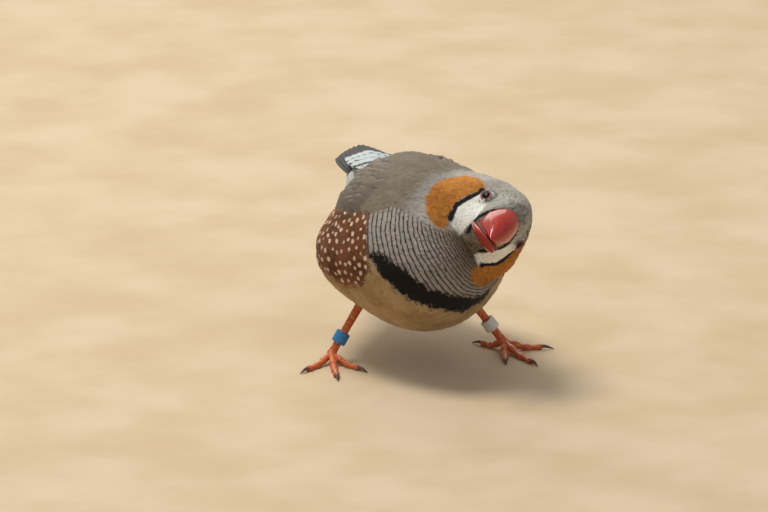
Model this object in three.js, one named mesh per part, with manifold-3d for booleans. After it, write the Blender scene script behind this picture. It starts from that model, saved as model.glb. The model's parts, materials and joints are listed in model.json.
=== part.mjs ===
// A zebra finch cock, life size, in millimetres, +Z up.
// The bird stands on the floor z = 0, faces -Y and has its left side at +X. It leans low over its feet, with
// the neck bent to its left and the head rolled over that shoulder, so that the right cheek is up.
import * as THREE from 'three';
import { mergeVertices } from 'three/addons/utils/BufferGeometryUtils.js';
import Module from 'manifold-3d';

const wasm = await Module();
wasm.setup();
const rad = THREE.MathUtils.degToRad;
const vec = (x, y, z) => new THREE.Vector3(x, y, z);

// Driving sizes
const gap = 0.3; // clearance kept between neighbouring pieces
const mirrorSides = { left: 1, right: -1 };
const bodyPlace = [-1.4, -5.6, 1.6]; // the body's place over the feet, which balances it
const facets = { // along and around each form, or around and along each limb
  trunk: [20, 26],
  head: [18, 24],
  rump: [16, 18],
  neck: [24, 8],
  shank: [10, 9],
  toe: [7, 7],
  claw: [6, 3],
};
const dome = { near: 0.62, nearShare: 0.72, far: 0.9 }; // a limb's rounded end, in shares of its radius

// Trunk: at each y the centre line's height, the reach to the side, up and down, and how far the back narrows
const trunkStations = [
  { y: -28, z: 25.4, side: 13.6, up: 13.0, down: 14.2, roof: 0.0 },
  { y: -20, z: 25.0, side: 15.4, up: 15.2, down: 16.2, roof: 0.02 },
  { y: -10, z: 24.4, side: 17.0, up: 17.4, down: 17.4, roof: 0.06 },
  { y: 0, z: 24.0, side: 18.0, up: 18.6, down: 17.6, roof: 0.12 },
  { y: 10, z: 24.0, side: 16.6, up: 17.4, down: 17.2, roof: 0.24 },
  { y: 20, z: 24.4, side: 12.7, up: 11.9, down: 14.4, roof: 0.3 },
  { y: 30, z: 25.6, side: 8.8, up: 6.6, down: 9.8, roof: 0.3 },
  { y: 38, z: 26.6, side: 6.3, up: 4.6, down: 6.0, roof: 0.2 },
  { y: 46, z: 27.0, side: 4.6, up: 2.8, down: 3.6, roof: 0.1 },
];
const trunkRound = { front: 21, back: 6 }; // how far each end takes to round off
const flankFluff = { y: 5, angle: -9, reach: 3.5, length: 13, width: 28 };
const tailCut = { y: 36, z: 28 }; // the rump ends and the tail begins here
const roundPower = 2.1; // how full the ends of trunk and head are

// Head, in its own frame: origin midway between the eyes, facing -Y
const headPlace = { x: 12.5, y: -24, z: 34.8 };
const headTurn = { yaw: -8, pitch: -9.5, roll: 57 };
const headStations = [
  { y: -8, z: -2.2, side: 4.3, up: 6.0, down: 4.8, roof: 0 },
  { y: -5, z: -2.5, side: 4.8, up: 7.7, down: 5.2, roof: 0 },
  { y: -2, z: -2.9, side: 5.7, up: 9.0, down: 6.6, roof: 0.02 },
  { y: 1.5, z: -3.2, side: 7.2, up: 9.8, down: 8.2, roof: 0.06 },
  { y: 6, z: -3.4, side: 9.1, up: 10.0, down: 9.6, roof: 0.08 },
  { y: 14, z: -4.0, side: 8.8, up: 9.4, down: 9.6, roof: 0.04 },
];
const headRound = { front: 3.2, back: 9 };
const cheekFluff = { y: 7, angle: -22, reach: 2.3, length: 4.4, width: 30 };

// Neck: a soft column from the trunk to the head
const neckPath = [vec(2.5, -1, 27), vec(6.4, -8, 29.2), vec(9.2, -13.5, 31.4), vec(10.6, -17, 32.6)];
const neckRadii = [15.2, 14.0, 11.5, 9.6];
const headCut = 5.2; // how far behind the eyes the head parts from the neck

// Bill, in the head's frame: the ridge, the cutting edge and the keel from the face to the tip
const bill = {
  base: -2.6,
  tip: { y: -14.4, z: -5.25 },
  ridgeBase: { y: -6.6, z: 2.6 },
  ridgeBow: 1.3,
  gapeHeight: -5.2,
  keelBase: { y: -4.4, z: -6.9 },
  keelBow: 0.9,
  lowerShort: 0.3, // how far the lower half's tip lies behind the upper's
  upper: { half: 4.2, bend: 2.4, power: 0.95, floor: 0.78 }, // half width, narrowing, share at the edge
  lower: { half: 4.05, bend: 2.2, power: 0.6, floor: 0.95 },
  floorHeight: 0.4, // the share of the height at which a section reaches its full width
  floorSag: 0.08,
  tipHalfWidth: 0.1,
  leastHeight: 0.12,
  sectionRound: 0.85,
  facets: [8, 16], // along and around the bill
  clear: 0.36, // between the bill and the face round it
  mouthGap: 0.32,
  mouthOpen: 0.2,
  nostril: { side: 1.9, y: -7.1, z: 0.6, radius: 0.42 },
};

// Eyes, in the head's frame
const eye = {
  side: 5.1,
  y: -0.4,
  z: -0.35,
  radius: 1.8,
  forward: 34, // how far the eye looks ahead of the side, in degrees
  rise: 0.05,
  clear: 0.12, // between the eye and its socket
  lidSkin: 0.22,
  lidPlane: 1.5, // how far out the lids open
  facets: [18, 12],
};

// Legs: the heel is hidden in the belly's plumage, and the foot is where the toes meet
const legs = {
  left: {
    heel: vec(9.6, -3.0, 13.2), foot: vec(17.8, -4.7, 1.9), band: 0.35,
    toes: { inner: [-12, 8.2], middle: [16, 11.2], outer: [80, 7.6], hind: [218, 5.4] },
  },
  right: {
    heel: vec(-12.8, -4.2, 13.4), foot: vec(-19.9, -4.6, 1.9), band: 0.3,
    toes: { inner: [30, 8.0], middle: [-8, 11.2], outer: [-50, 8.0], hind: [166, 6.0] },
  },
};
const tarsus = { shares: [0, 0.12, 0.5, 0.88, 1], radii: [1.15, 0.94, 0.85, 0.85, 1.05], ankle: 1.9 };
const toe = { baseRadius: 0.78, endRadius: 0.58, knuckle: 0.09, height: 0.55, phalanges: 3 };
const toeArch = { share: 0.3, height: 1.25, landed: 0.62 }; // where a toe arches and where it lies flat
const palm = { radius: 1.25, flat: 0.95, facets: [10, 7] };
const claw = { length: 3, baseRadius: 0.5, endRadius: 0.16, rise: 0.75, rooted: 0.4, bend: 0.4, clear: 0.05 };
const band = { inner: 1.22, outer: 1.58, height: 2.6, soft: 0.2, facets: 18 };

// Feathers: a vane's thickness, its tilt, how its rows crowd to the tip, and the outline of its half width
const vane = { rootThick: 0.8, tipThick: 0.5, tilt: 0.5, crowd: 1.6 };
const vaneOutline = { root: 0.62, widening: 0.9, tip: 0.02, tipPower: 5 };

// Wing: tiers of feathers on the trunk's side, as [y, angle above the side] of the end roots and tips
const wing = { sunk: 2.4, plate: 1.0, edge: 0.35, cover: 2.4, shoulder: 1.8, facets: [9, 4], middle: 40 };
const wingOutline = { front: -5, back: 31, lower: [31, 14, 46], upper: [58, 66, 72] };
const wingTiers = [
  { count: 5, roots: [[8, 28], [12, 40]], tips: [[33, 38], [43, 54]], wide: 3.9, lift: [-1.6, 0.9], rows: 5 },
  { count: 4, roots: [[2, 29], [8, 48]], tips: [[25, 30], [30, 46]], wide: 5.2, lift: [-1.2, 0.9], rows: 4 },
  { count: 3, roots: [[2, 46], [4, 58]], tips: [[25, 48], [28, 62]], wide: 6, lift: [-0.9, 1.2], rows: 4 },
  { count: 5, roots: [[-1, 30], [0, 58]], tips: [[11, 28], [14, 58]], wide: 5.8, lift: [-0.4, 0.8], rows: 3 },
  { count: 5, roots: [[-4, 32], [-4, 57]], tips: [[5, 30], [6, 58]], wide: 5.6, lift: [-0.2, 0.9], rows: 3 },
  { count: 4, roots: [[-6, 34], [-6, 55]], tips: [[-0.5, 33], [0, 56]], wide: 6, lift: [-0.2, 0.9], rows: 3 },
];

// Tail, in its own frame: root at the rump, feathers running back along +Y
const tailPlace = { x: 0, y: 33, z: 29.9 };
const tailTurn = { yaw: -7, pitch: -4.4, roll: 0 };
const tail = {
  pairs: 6,
  length: 33.5,
  outerShort: 5,
  width: 4.4,
  spread: 5.4,
  step: 0.27,
  rootStep: 0.5,
  tilt: -0.22,
};
const covertRow = { rootSpread: 2.4, arch: 1.1, outerShort: 0.3, tilt: -0.3 }; // across a row of tail coverts
const tailCoverts = [
  { count: 5, length: 20, width: 4.6, spread: 6, lift: 0.75, root: 1, pitch: 1.2 }, // long, above
  { count: 4, length: 12, width: 4.8, spread: 9, lift: 1.5, root: 0, pitch: 1.5 }, // short, above
  { count: 4, length: 17, width: 5.0, spread: 6, lift: -3.1, root: 1, pitch: 0.2 }, // below
];

const finish = {
  headGrey: new THREE.MeshStandardMaterial({ color: 0x7b7b78, roughness: 0.9 }),
  breastBars: new THREE.MeshStandardMaterial({ color: 0x6d6a66, roughness: 0.9 }),
  bodyPlumage: new THREE.MeshStandardMaterial({ color: 0xb9a68c, roughness: 0.9 }),
  wingBrown: new THREE.MeshStandardMaterial({ color: 0x6f6659, roughness: 0.85 }),
  tailDark: new THREE.MeshStandardMaterial({ color: 0x2b2826, roughness: 0.8 }),
  billRed: new THREE.MeshStandardMaterial({ color: 0xc8352c, roughness: 0.35 }),
  legOrange: new THREE.MeshStandardMaterial({ color: 0xd4622a, roughness: 0.5 }),
  eyeDark: new THREE.MeshStandardMaterial({ color: 0x2a0d0b, roughness: 0.1 }),
  bandBlue: new THREE.MeshStandardMaterial({ color: 0x2b78c0, roughness: 0.4 }),
  bandWhite: new THREE.MeshStandardMaterial({ color: 0xd9d6d2, roughness: 0.4 }),
};

// Solids: closed meshes in and out of the boolean library
function solidOf(geometry) {
  const bare = new THREE.BufferGeometry();
  bare.setAttribute('position', geometry.getAttribute('position'));
  if (geometry.index) bare.setIndex(geometry.index);
  const merged = mergeVertices(bare, 1e-4);
  const vertProperties = new Float32Array(merged.attributes.position.array);
  const triVerts = new Uint32Array(merged.index.array);
  const made = new wasm.Manifold(new wasm.Mesh({ numProp: 3, vertProperties, triVerts }));
  if (made.volume() > 0) return made;
  return new wasm.Manifold(new wasm.Mesh({ numProp: 3, vertProperties, triVerts: triVerts.reverse() }));
}

function geometryOf(solid) {
  const mesh = solid.getMesh();
  const geometry = new THREE.BufferGeometry();
  geometry.setAttribute('position', new THREE.BufferAttribute(new Float32Array(mesh.vertProperties), 3));
  geometry.setIndex(new THREE.BufferAttribute(new Uint32Array(mesh.triVerts), 1));
  geometry.computeVertexNormals();
  return geometry;
}

const joined = (solids) => solids.reduce((whole, piece) => whole.add(piece));
const largest = (solid) => solid.decompose().reduce((a, b) => (b.volume() > a.volume() ? b : a));

// A smooth value through rows of named sizes, read at y
function read(rows, key, y) {
  const last = rows.length - 1;
  let i = 0;
  while (i < last - 1 && y > rows[i + 1].y) i += 1;
  const slope = (n) => {
    const [a, b] = [rows[Math.max(n - 1, 0)], rows[Math.min(n + 1, last)]];
    return (b[key] - a[key]) / (b.y - a.y);
  };
  const [a, b] = [rows[i], rows[i + 1]];
  const span = b.y - a.y;
  const t = THREE.MathUtils.clamp((y - a.y) / span, 0, 1);
  const bend = (3 - 2 * t) * t * t;
  return a[key] * (1 - bend) + b[key] * bend
    + span * (slope(i) * t * (1 - t) ** 2 - slope(i + 1) * t * t * (1 - t));
}

// A rounded form along y: at(y, angle, lift) is a point on it, angle 0 at +X and 90 on top, lift off it
function roundForm(rows, round, fluffs) {
  const [front, back] = [rows[0].y, rows[rows.length - 1].y];
  const rounding = (y) => {
    const ahead = Math.max(0, 1 - (y - front) / round.front);
    const behind = Math.max(0, 1 - (back - y) / round.back);
    return Math.sqrt(Math.max(0, 1 - Math.max(ahead, behind) ** roundPower));
  };
  const bulge = (y, angle) => fluffs.reduce((sum, f) => {
    const side = Math.cos(rad(angle)) < 0 ? 180 - angle : angle;
    const turn = ((side - f.angle + 540) % 360) - 180;
    return sum + f.reach * Math.exp(-(((y - f.y) / f.length) ** 2) - (turn / f.width) ** 2);
  }, 0);
  const surface = (y, angle, round01) => {
    const [c, s] = [Math.cos(rad(angle)), Math.sin(rad(angle))];
    const extra = bulge(y, angle);
    const side = (read(rows, 'side', y) + extra) * round01 * (1 - read(rows, 'roof', y) * Math.max(0, s));
    const rise = (read(rows, s > 0 ? 'up' : 'down', y) + extra) * round01;
    return vec(side * c, y, read(rows, 'z', y) + rise * s);
  };
  const at = (y, angle, lift = 0, open = false) => {
    const shrink = (v) => (open && v > 0 ? 1 : rounding(v));
    const p = surface(y, angle, shrink(y));
    if (!lift) return p;
    const step = 0.02;
    const along = surface(y + step, angle, shrink(y + step)).sub(surface(y - step, angle, shrink(y - step)));
    const across = surface(y, angle + 1, shrink(y)).sub(surface(y, angle - 1, shrink(y)));
    return p.addScaledVector(across.cross(along).normalize(), -lift);
  };
  return { at, front, back };
}

function shell(rings) {
  const around = rings[1].length;
  const points = [rings[0][0], ...rings.slice(1, -1).flat(), rings[rings.length - 1][0]];
  const index = [];
  const id = (i, j) => 1 + (i - 1) * around + (j % around);
  const end = points.length - 1;
  for (let j = 0; j < around; j += 1) {
    index.push(0, id(1, j), id(1, j + 1), end, id(rings.length - 2, j + 1), id(rings.length - 2, j));
    for (let i = 1; i < rings.length - 2; i += 1) {
      index.push(id(i, j), id(i + 1, j), id(i + 1, j + 1), id(i, j), id(i + 1, j + 1), id(i, j + 1));
    }
  }
  const geometry = new THREE.BufferGeometry().setFromPoints(points);
  return solidOf(geometry.setIndex(index));
}

function formSolid(form, [rings, around], lift = 0) {
  const middle = (form.front + form.back) / 2;
  const half = (form.back - form.front) / 2;
  const made = [];
  for (let i = 0; i <= rings; i += 1) {
    const y = middle - half * Math.cos((Math.PI * i) / rings);
    const pole = i === 0 || i === rings;
    const ring = [];
    for (let j = 0; j < (pole ? 1 : around); j += 1) {
      ring.push(form.at(y, (360 * j) / around, pole ? 0 : lift));
    }
    if (pole) ring[0].y += i ? lift : -lift;
    made.push(ring);
  }
  return shell(made);
}

// A round limb along a smooth path, with domed ends
function limb(path, radii, [around, steps]) {
  const curve = new THREE.CatmullRomCurve3(path);
  const frames = curve.computeFrenetFrames(steps, false);
  const rows = radii.map((r, i) => ({ y: i / (radii.length - 1), r }));
  const ring = (i, push, share) => {
    const centre = curve.getPointAt(i / steps);
    const r = read(rows, 'r', i / steps);
    centre.addScaledVector(frames.tangents[i], push * r);
    return Array.from({ length: share ? around : 1 }, (_, j) => {
      const turn = (2 * Math.PI * j) / around;
      return centre.clone().addScaledVector(frames.normals[i], share * r * Math.cos(turn))
        .addScaledVector(frames.binormals[i], share * r * Math.sin(turn));
    });
  };
  const rings = [ring(0, -dome.far, 0), ring(0, -dome.near, dome.nearShare)];
  for (let i = 0; i <= steps; i += 1) rings.push(ring(i, 0, 1));
  return shell([...rings, ring(steps, dome.near, dome.nearShare), ring(steps, dome.far, 0)]);
}

// A thin slab between two faces: at(along, across, face) gives its points, face 1 outside and 0 inside
function slab(rows, columns, at) {
  const points = [];
  const index = [];
  const id = (face, i, j) => (face * (rows + 1) + i) * (columns + 1) + j;
  for (const face of [0, 1]) {
    for (let i = 0; i <= rows; i += 1) {
      for (let j = 0; j <= columns; j += 1) points.push(at(i / rows, j / columns, face));
    }
  }
  const quad = (a, b, c, d) => index.push(a, b, c, a, c, d);
  for (let i = 0; i < rows; i += 1) {
    for (let j = 0; j < columns; j += 1) {
      quad(id(1, i, j), id(1, i + 1, j), id(1, i + 1, j + 1), id(1, i, j + 1));
      index.push(id(0, i, j), id(0, i + 1, j + 1), id(0, i + 1, j));
      index.push(id(0, i, j), id(0, i, j + 1), id(0, i + 1, j + 1));
    }
    quad(id(0, i, 0), id(0, i + 1, 0), id(1, i + 1, 0), id(1, i, 0));
    quad(id(0, i + 1, columns), id(0, i, columns), id(1, i, columns), id(1, i + 1, columns));
  }
  for (let j = 0; j < columns; j += 1) {
    quad(id(0, 0, j + 1), id(0, 0, j), id(1, 0, j), id(1, 0, j + 1));
    quad(id(0, rows, j), id(0, rows, j + 1), id(1, rows, j + 1), id(1, rows, j));
  }
  return solidOf(new THREE.BufferGeometry().setFromPoints(points).setIndex(index));
}

// A feather's outline: the share of its half width at each share of its length
function featherWidth(a) {
  const { root, widening, tip, tipPower } = vaneOutline;
  return Math.min(1, root + widening * a) * Math.sqrt(Math.max(tip, 1 - a ** tipPower));
}

const closer = (row) => 1 - (1 - row) ** vane.crowd; // rows crowd towards the tip, to round it
const mix = (a, b, t) => a + (b - a) * t;

// One half space, as a big slab, to cut with
function halfSpace(centre, normal) {
  const big = 120;
  const box = new THREE.BoxGeometry(big, big, big);
  box.translate(0, 0, big / 2);
  box.applyQuaternion(new THREE.Quaternion().setFromUnitVectors(vec(0, 0, 1), normal.clone().normalize()));
  box.translate(centre.x, centre.y, centre.z);
  return solidOf(box);
}

const placed = (solid, matrix) => solid.transform(matrix.elements);

function turned(place, turn) {
  const angles = new THREE.Euler(rad(turn.pitch), rad(turn.roll), rad(turn.yaw), 'ZXY');
  const quaternion = new THREE.Quaternion().setFromEuler(angles);
  return new THREE.Matrix4().compose(vec(place.x, place.y, place.z), quaternion, vec(1, 1, 1));
}

const trunk = roundForm(trunkStations, trunkRound, [flankFluff]);
const headForm = roundForm(headStations, headRound, [cheekFluff]);
const headFrame = turned(headPlace, headTurn);
const tailFrame = turned(tailPlace, tailTurn);

// Wings
function wingPoint(side, y, angle, lift) {
  const p = trunk.at(y, angle, lift, true);
  return vec(p.x * mirrorSides[side], p.y, p.z);
}

function degreesAcross(y, width) {
  const radius = trunk.at(y, wing.middle, 0, true).distanceTo(vec(0, y, read(trunkStations, 'z', y)));
  return THREE.MathUtils.radToDeg(width / radius);
}

// The wing's bed on the trunk, between two lifts and with its outline grown by edge
function wingBed(side, low, high, edge) {
  const { front, back, lower, upper } = wingOutline;
  return slab(...wing.facets, (a, b, face) => {
    const y = mix(front - edge, back + edge, a);
    const more = degreesAcross(y, edge);
    const curve = (three) => mix(mix(three[0], three[1], a), mix(three[1], three[2], a), a);
    const angle = mix(curve(lower) - more, curve(upper) + more, b);
    return wingPoint(side, y, angle, face ? high : low);
  });
}

function wingFeather(side, tier, t, grow = 0) {
  const [root, tip] = [tier.roots, tier.tips].map(([a, b]) => [mix(a[0], b[0], t), mix(a[1], b[1], t)]);
  return slab(tier.rows, 1, (row, b, face) => {
    const a = closer(row);
    const y = mix(root[0], tip[0] + grow, a);
    const spread = degreesAcross(y, (tier.wide / 2) * featherWidth(a) + grow);
    const angle = mix(root[1], tip[1], a) + (2 * b - 1) * spread;
    const lift = mix(tier.lift[0], tier.lift[1], a) + vane.tilt * (b - 0.5);
    const below = -mix(vane.rootThick, vane.tipThick, a) - grow;
    return wingPoint(side, y, angle, lift + (face ? grow : below));
  });
}

function wingTier(side, tier, grow = 0) {
  return Array.from({ length: tier.count }, (_, i) => wingFeather(side, tier, i / (tier.count - 1), grow));
}

function makeWing(side) {
  const vanes = wingTiers.flatMap((tier) => wingTier(side, tier));
  const bed = wingBed(side, -wing.sunk, wing.cover, 0);
  const core = wingBed(side, -wing.sunk, -wing.sunk + wing.plate, 0);
  const outside = halfSpace(vec(mirrorSides[side] * gap / 2, 0, 0), vec(mirrorSides[side], 0, 0));
  return largest(joined([core, ...vanes]).subtract(trunkGrown.subtract(bed)).intersect(outside));
}

// Tail: feathers in pairs, the middle ones on top, with coverts above and below
function tailFeather({ length, width, turn, root, lift, pitch, tilt }) {
  const [sine, cosine] = [Math.sin(rad(turn)), Math.cos(rad(turn))];
  return slab(4, 1, (row, b, face) => {
    const a = closer(row);
    const across = (2 * b - 1) * (width / 2) * featherWidth(a);
    const along = root.y + a * length;
    const z = lift + Math.sin(rad(pitch)) * along + tilt * (b - 0.5);
    const thick = face ? 0 : mix(vane.rootThick, vane.tipThick, a);
    return vec(root.x + along * sine + across * cosine, along * cosine - across * sine, z - thick);
  });
}

function makeTail() {
  const vanes = [];
  for (let n = 0; n < 2 * tail.pairs; n += 1) {
    const off = n - tail.pairs + 0.5;
    const out = Math.abs(off) / (tail.pairs - 0.5);
    vanes.push(tailFeather({
      length: tail.length - tail.outerShort * out ** 2,
      width: tail.width,
      turn: tail.spread * Math.sign(off) * out,
      root: { x: tail.rootStep * off, y: 0 },
      lift: -tail.step * Math.abs(off),
      pitch: 0,
      tilt: tail.tilt * Math.sign(off),
    }));
  }
  for (const row of tailCoverts) {
    for (let n = 0; n < row.count; n += 1) {
      const t = n / (row.count - 1) - 0.5;
      vanes.push(tailFeather({
        length: row.length * (1 - covertRow.outerShort * Math.abs(t)),
        width: row.width,
        turn: 2 * row.spread * t,
        root: { x: covertRow.rootSpread * t, y: row.root },
        lift: row.lift - covertRow.arch * Math.abs(t) * Math.sign(row.lift),
        pitch: row.pitch,
        tilt: covertRow.tilt * t,
      }));
    }
  }
  const behindRump = halfSpace(vec(0, tailCut.y + gap, tailCut.z), vec(0, 1, 0));
  const core = formSolid(trunk, facets.rump);
  const whole = joined([core, ...vanes.map((v) => placed(v, tailFrame))]).intersect(behindRump);
  const longest = wingTiers[0]; // the wings' longest feathers lie over the tail's root
  return largest(whole.subtract(joined(['left', 'right'].flatMap((side) => wingTier(side, longest, gap)))));
}

// Bill: sections across the bill, from the face to the tip
function billHalf(upper, grow) {
  const { tip, mouthGap, mouthOpen, floorHeight } = bill;
  const ridge = upper ? bill.ridgeBase : bill.keelBase;
  const bow = upper ? bill.ridgeBow : -bill.keelBow;
  const { half, bend, power, floor } = upper ? bill.upper : bill.lower;
  const way = upper ? 1 : -1;
  const tipY = tip.y + (upper ? 0 : bill.lowerShort);
  const [rings, around] = bill.facets;
  const made = [];
  for (let i = 0; i <= rings; i += 1) {
    const t = Math.sin((Math.PI / 2) * (i / rings));
    const y = mix(bill.base, tipY, t);
    const edge = mix(bill.gapeHeight, tip.z, t) + (way * (mouthGap + mouthOpen * Math.sin(Math.PI * t))) / 2;
    const outward = THREE.MathUtils.clamp((y - ridge.y) / (tip.y - ridge.y), 0, 1);
    const far = mix(ridge.z, tip.z, outward) + bow * Math.sin(Math.PI * outward);
    const height = Math.max(bill.leastHeight, Math.abs(far - edge)) * (i === rings ? 0.5 : 1);
    const width = half * (1 - t ** bend) ** power + bill.tipHalfWidth;
    const ring = [];
    for (let j = 0; j < around; j += 1) {
      const turn = (2 * Math.PI * j) / around;
      const [side, lift] = [Math.cos(turn), Math.sin(turn)];
      const full = Math.sign(side) * Math.abs(side) ** bill.sectionRound;
      const share = mix(floor, 1, Math.min(1, Math.max(0, lift / floorHeight)));
      const rise = lift > 0 ? height * lift : bill.floorSag * lift;
      const z = edge + way * (rise + grow * lift);
      ring.push(vec(width * full * share + grow * side, y + (i ? 0 : grow), z));
    }
    made.push(ring);
  }
  const middle = (ring) => [ring.reduce((sum, p) => sum.add(p), vec(0, 0, 0)).divideScalar(ring.length)];
  return shell([middle(made[0]), ...made, middle(made[made.length - 1])]);
}

function nostrils() {
  return joined([1, -1].map((side) => {
    const pit = new THREE.SphereGeometry(bill.nostril.radius, 8, 6);
    pit.translate(side * bill.nostril.side, bill.nostril.y, bill.nostril.z);
    return solidOf(pit);
  }));
}

// Eyes and lids
const eyeCentre = (side) => vec(eye.side * mirrorSides[side], eye.y, eye.z);
function eyeAxis(side) {
  const forward = rad(eye.forward);
  return vec(Math.cos(forward) * mirrorSides[side], -Math.sin(forward), eye.rise).normalize();
}

function eyeBall(side, grow) {
  const ball = new THREE.SphereGeometry(eye.radius + grow, ...eye.facets);
  ball.applyQuaternion(new THREE.Quaternion().setFromUnitVectors(vec(0, 1, 0), eyeAxis(side)));
  const c = eyeCentre(side);
  return solidOf(ball.translate(c.x, c.y, c.z));
}

// The lids are a skin over the eye, cut off flat to open over its front
function lids(side) {
  const way = eyeAxis(side);
  const edge = eyeCentre(side).addScaledVector(way, eye.lidPlane);
  return eyeBall(side, eye.clear + eye.lidSkin).intersect(halfSpace(edge, way.negate()));
}

// The head and neck are one form, with the face's openings, and are parted behind the eyes
function headAndNeck() {
  const sockets = ['left', 'right'].map((side) => eyeBall(side, eye.clear));
  const face = joined([formSolid(headForm, facets.head), lids('left'), lids('right')]);
  const cuts = joined([billHalf(true, bill.clear), billHalf(false, bill.clear), ...sockets]);
  const bareNeck = limb(neckPath, neckRadii, facets.neck).subtract(trunkGrown);
  return placed(face, headFrame).add(bareNeck).subtract(placed(cuts, headFrame));
}

function behindCut(more) {
  return placed(halfSpace(vec(0, headCut + more, 0), vec(0, more ? 1 : -1, 0)), headFrame);
}

// Legs and feet
const onLeg = (side, t) => legs[side].heel.clone().lerp(legs[side].foot, t);

const makeShank = (side) => limb(tarsus.shares.map((t) => onLeg(side, t)), tarsus.radii, facets.shank);

// The ankle's cut: the tarsus is above it and the foot below
function ankleCut(side, above) {
  const up = legs[side].heel.clone().sub(legs[side].foot).normalize();
  const at = legs[side].foot.clone().addScaledVector(up, tarsus.ankle + (above ? gap : 0));
  return halfSpace(at, above ? up : up.negate());
}

// A toe's line: heading 0 is straight ahead and 90 to the bird's left
function toeLine(side, heading, length) {
  const { foot } = legs[side];
  const way = vec(Math.sin(rad(heading)), -Math.cos(rad(heading)), 0);
  const at = (part, z) => foot.clone().setZ(z).addScaledVector(way, part * length);
  const { share, height, landed } = toeArch;
  return [at(0, foot.z), at(share, height), at(landed, toe.height), at(1, toe.height)];
}

function makeToe(side, heading, length) {
  const path = toeLine(side, heading, length);
  const radii = [];
  for (let n = 0; n <= 2 * toe.phalanges; n += 1) {
    const plain = mix(toe.baseRadius, toe.endRadius, n / (2 * toe.phalanges));
    radii.push(plain + (n % 2 ? -toe.knuckle / 2 : toe.knuckle));
  }
  const way = path[3].clone().sub(path[2]).normalize();
  const reach = (d, z) => path[3].clone().setZ(z).addScaledVector(way, d);
  const nailPath = [
    reach(-claw.rooted, toe.height),
    reach(claw.length * claw.bend, claw.rise),
    reach(claw.length, claw.endRadius + claw.clear),
  ];
  const nailRadii = [claw.baseRadius, mix(claw.baseRadius, claw.endRadius, claw.bend), claw.endRadius];
  return limb(path, radii, facets.toe).add(limb(nailPath, nailRadii, facets.claw));
}

function makeFoot(side) {
  const { foot } = legs[side];
  const toes = Object.values(legs[side].toes).map(([heading, length]) => makeToe(side, heading, length));
  const ball = new THREE.SphereGeometry(palm.radius, ...palm.facets);
  ball.scale(1, 1, palm.flat).translate(foot.x, foot.y, palm.radius);
  const aboveFloor = halfSpace(vec(foot.x, foot.y, 0), vec(0, 0, 1));
  const stub = makeShank(side).intersect(ankleCut(side, false));
  return largest(joined([solidOf(ball), stub, ...toes]).intersect(aboveFloor));
}

function makeBand(side) {
  const { inner, outer, height, soft } = band;
  const [low, high] = [-height / 2, height / 2];
  const profile = [
    [inner, low], [outer - soft, low], [outer, low + soft],
    [outer, high - soft], [outer - soft, high], [inner, high], [inner, low],
  ];
  const ring = new THREE.LatheGeometry(profile.map(([r, z]) => new THREE.Vector2(r, z)), band.facets);
  const axis = legs[side].heel.clone().sub(legs[side].foot).normalize();
  ring.applyQuaternion(new THREE.Quaternion().setFromUnitVectors(vec(0, 1, 0), axis));
  const c = legs[side].foot.clone().lerp(legs[side].heel, legs[side].band);
  return solidOf(ring.translate(c.x, c.y, c.z));
}

// The bird, node by node
const bird = new THREE.Group();

function show(name, solid, material) {
  const mesh = new THREE.Mesh(geometryOf(solid), material);
  mesh.name = name;
  bird.add(mesh);
}

const trunkGrown = formSolid(trunk, facets.trunk, gap);
const headGrown = placed(formSolid(headForm, facets.head, gap), headFrame);
const beds = joined(['left', 'right'].map((side) => wingBed(side, -wing.sunk - gap, wing.cover, wing.edge)));
const beforeRump = halfSpace(vec(0, tailCut.y, tailCut.z), vec(0, -1, 0));
const wholeTrunk = formSolid(trunk, facets.trunk).subtract(joined([beds, headGrown]));
const torso = largest(wholeTrunk.intersect(beforeRump));
const shoulderBed = (side) => wingBed(side, -wing.sunk, wing.cover, wing.shoulder);
const shoulders = joined(['left', 'right'].map(shoulderBed));
const upperBody = headAndNeck();
const neck = largest(upperBody.intersect(behindCut(gap)).subtract(shoulders));
const head = largest(upperBody.intersect(behindCut(0)));

const overFeet = (solid) => solid.translate(bodyPlace);
const onHead = (solid) => overFeet(placed(solid, headFrame));
show('torso', overFeet(torso), finish.bodyPlumage);
show('neck', overFeet(neck), finish.breastBars);
show('head', overFeet(head), finish.headGrey);
show('bill_upper', onHead(largest(billHalf(true, 0).subtract(nostrils()))), finish.billRed);
show('bill_lower', onHead(billHalf(false, 0)), finish.billRed);
show('tail', overFeet(makeTail()), finish.tailDark);

for (const side of ['left', 'right']) {
  const bareShank = makeShank(side).subtract(overFeet(trunkGrown));
  show(`eye_${side}`, onHead(eyeBall(side, 0)), finish.eyeDark);
  show(`wing_${side}`, overFeet(makeWing(side)), finish.wingBrown);
  show(`tarsus_${side}`, largest(bareShank.intersect(ankleCut(side, true))), finish.legOrange);
  show(`foot_${side}`, makeFoot(side), finish.legOrange);
  show(`leg_band_${side}`, makeBand(side), side === 'left' ? finish.bandWhite : finish.bandBlue);
}

// The origin is on the floor, under the middle of the bird's box
const reach = new THREE.Box3().setFromObject(bird, true).getCenter(vec(0, 0, 0));
bird.position.set(-reach.x, -reach.y, 0);

export default bird;
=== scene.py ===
import bpy
import json
import math
import numpy as np
from mathutils import Matrix, Vector

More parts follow.
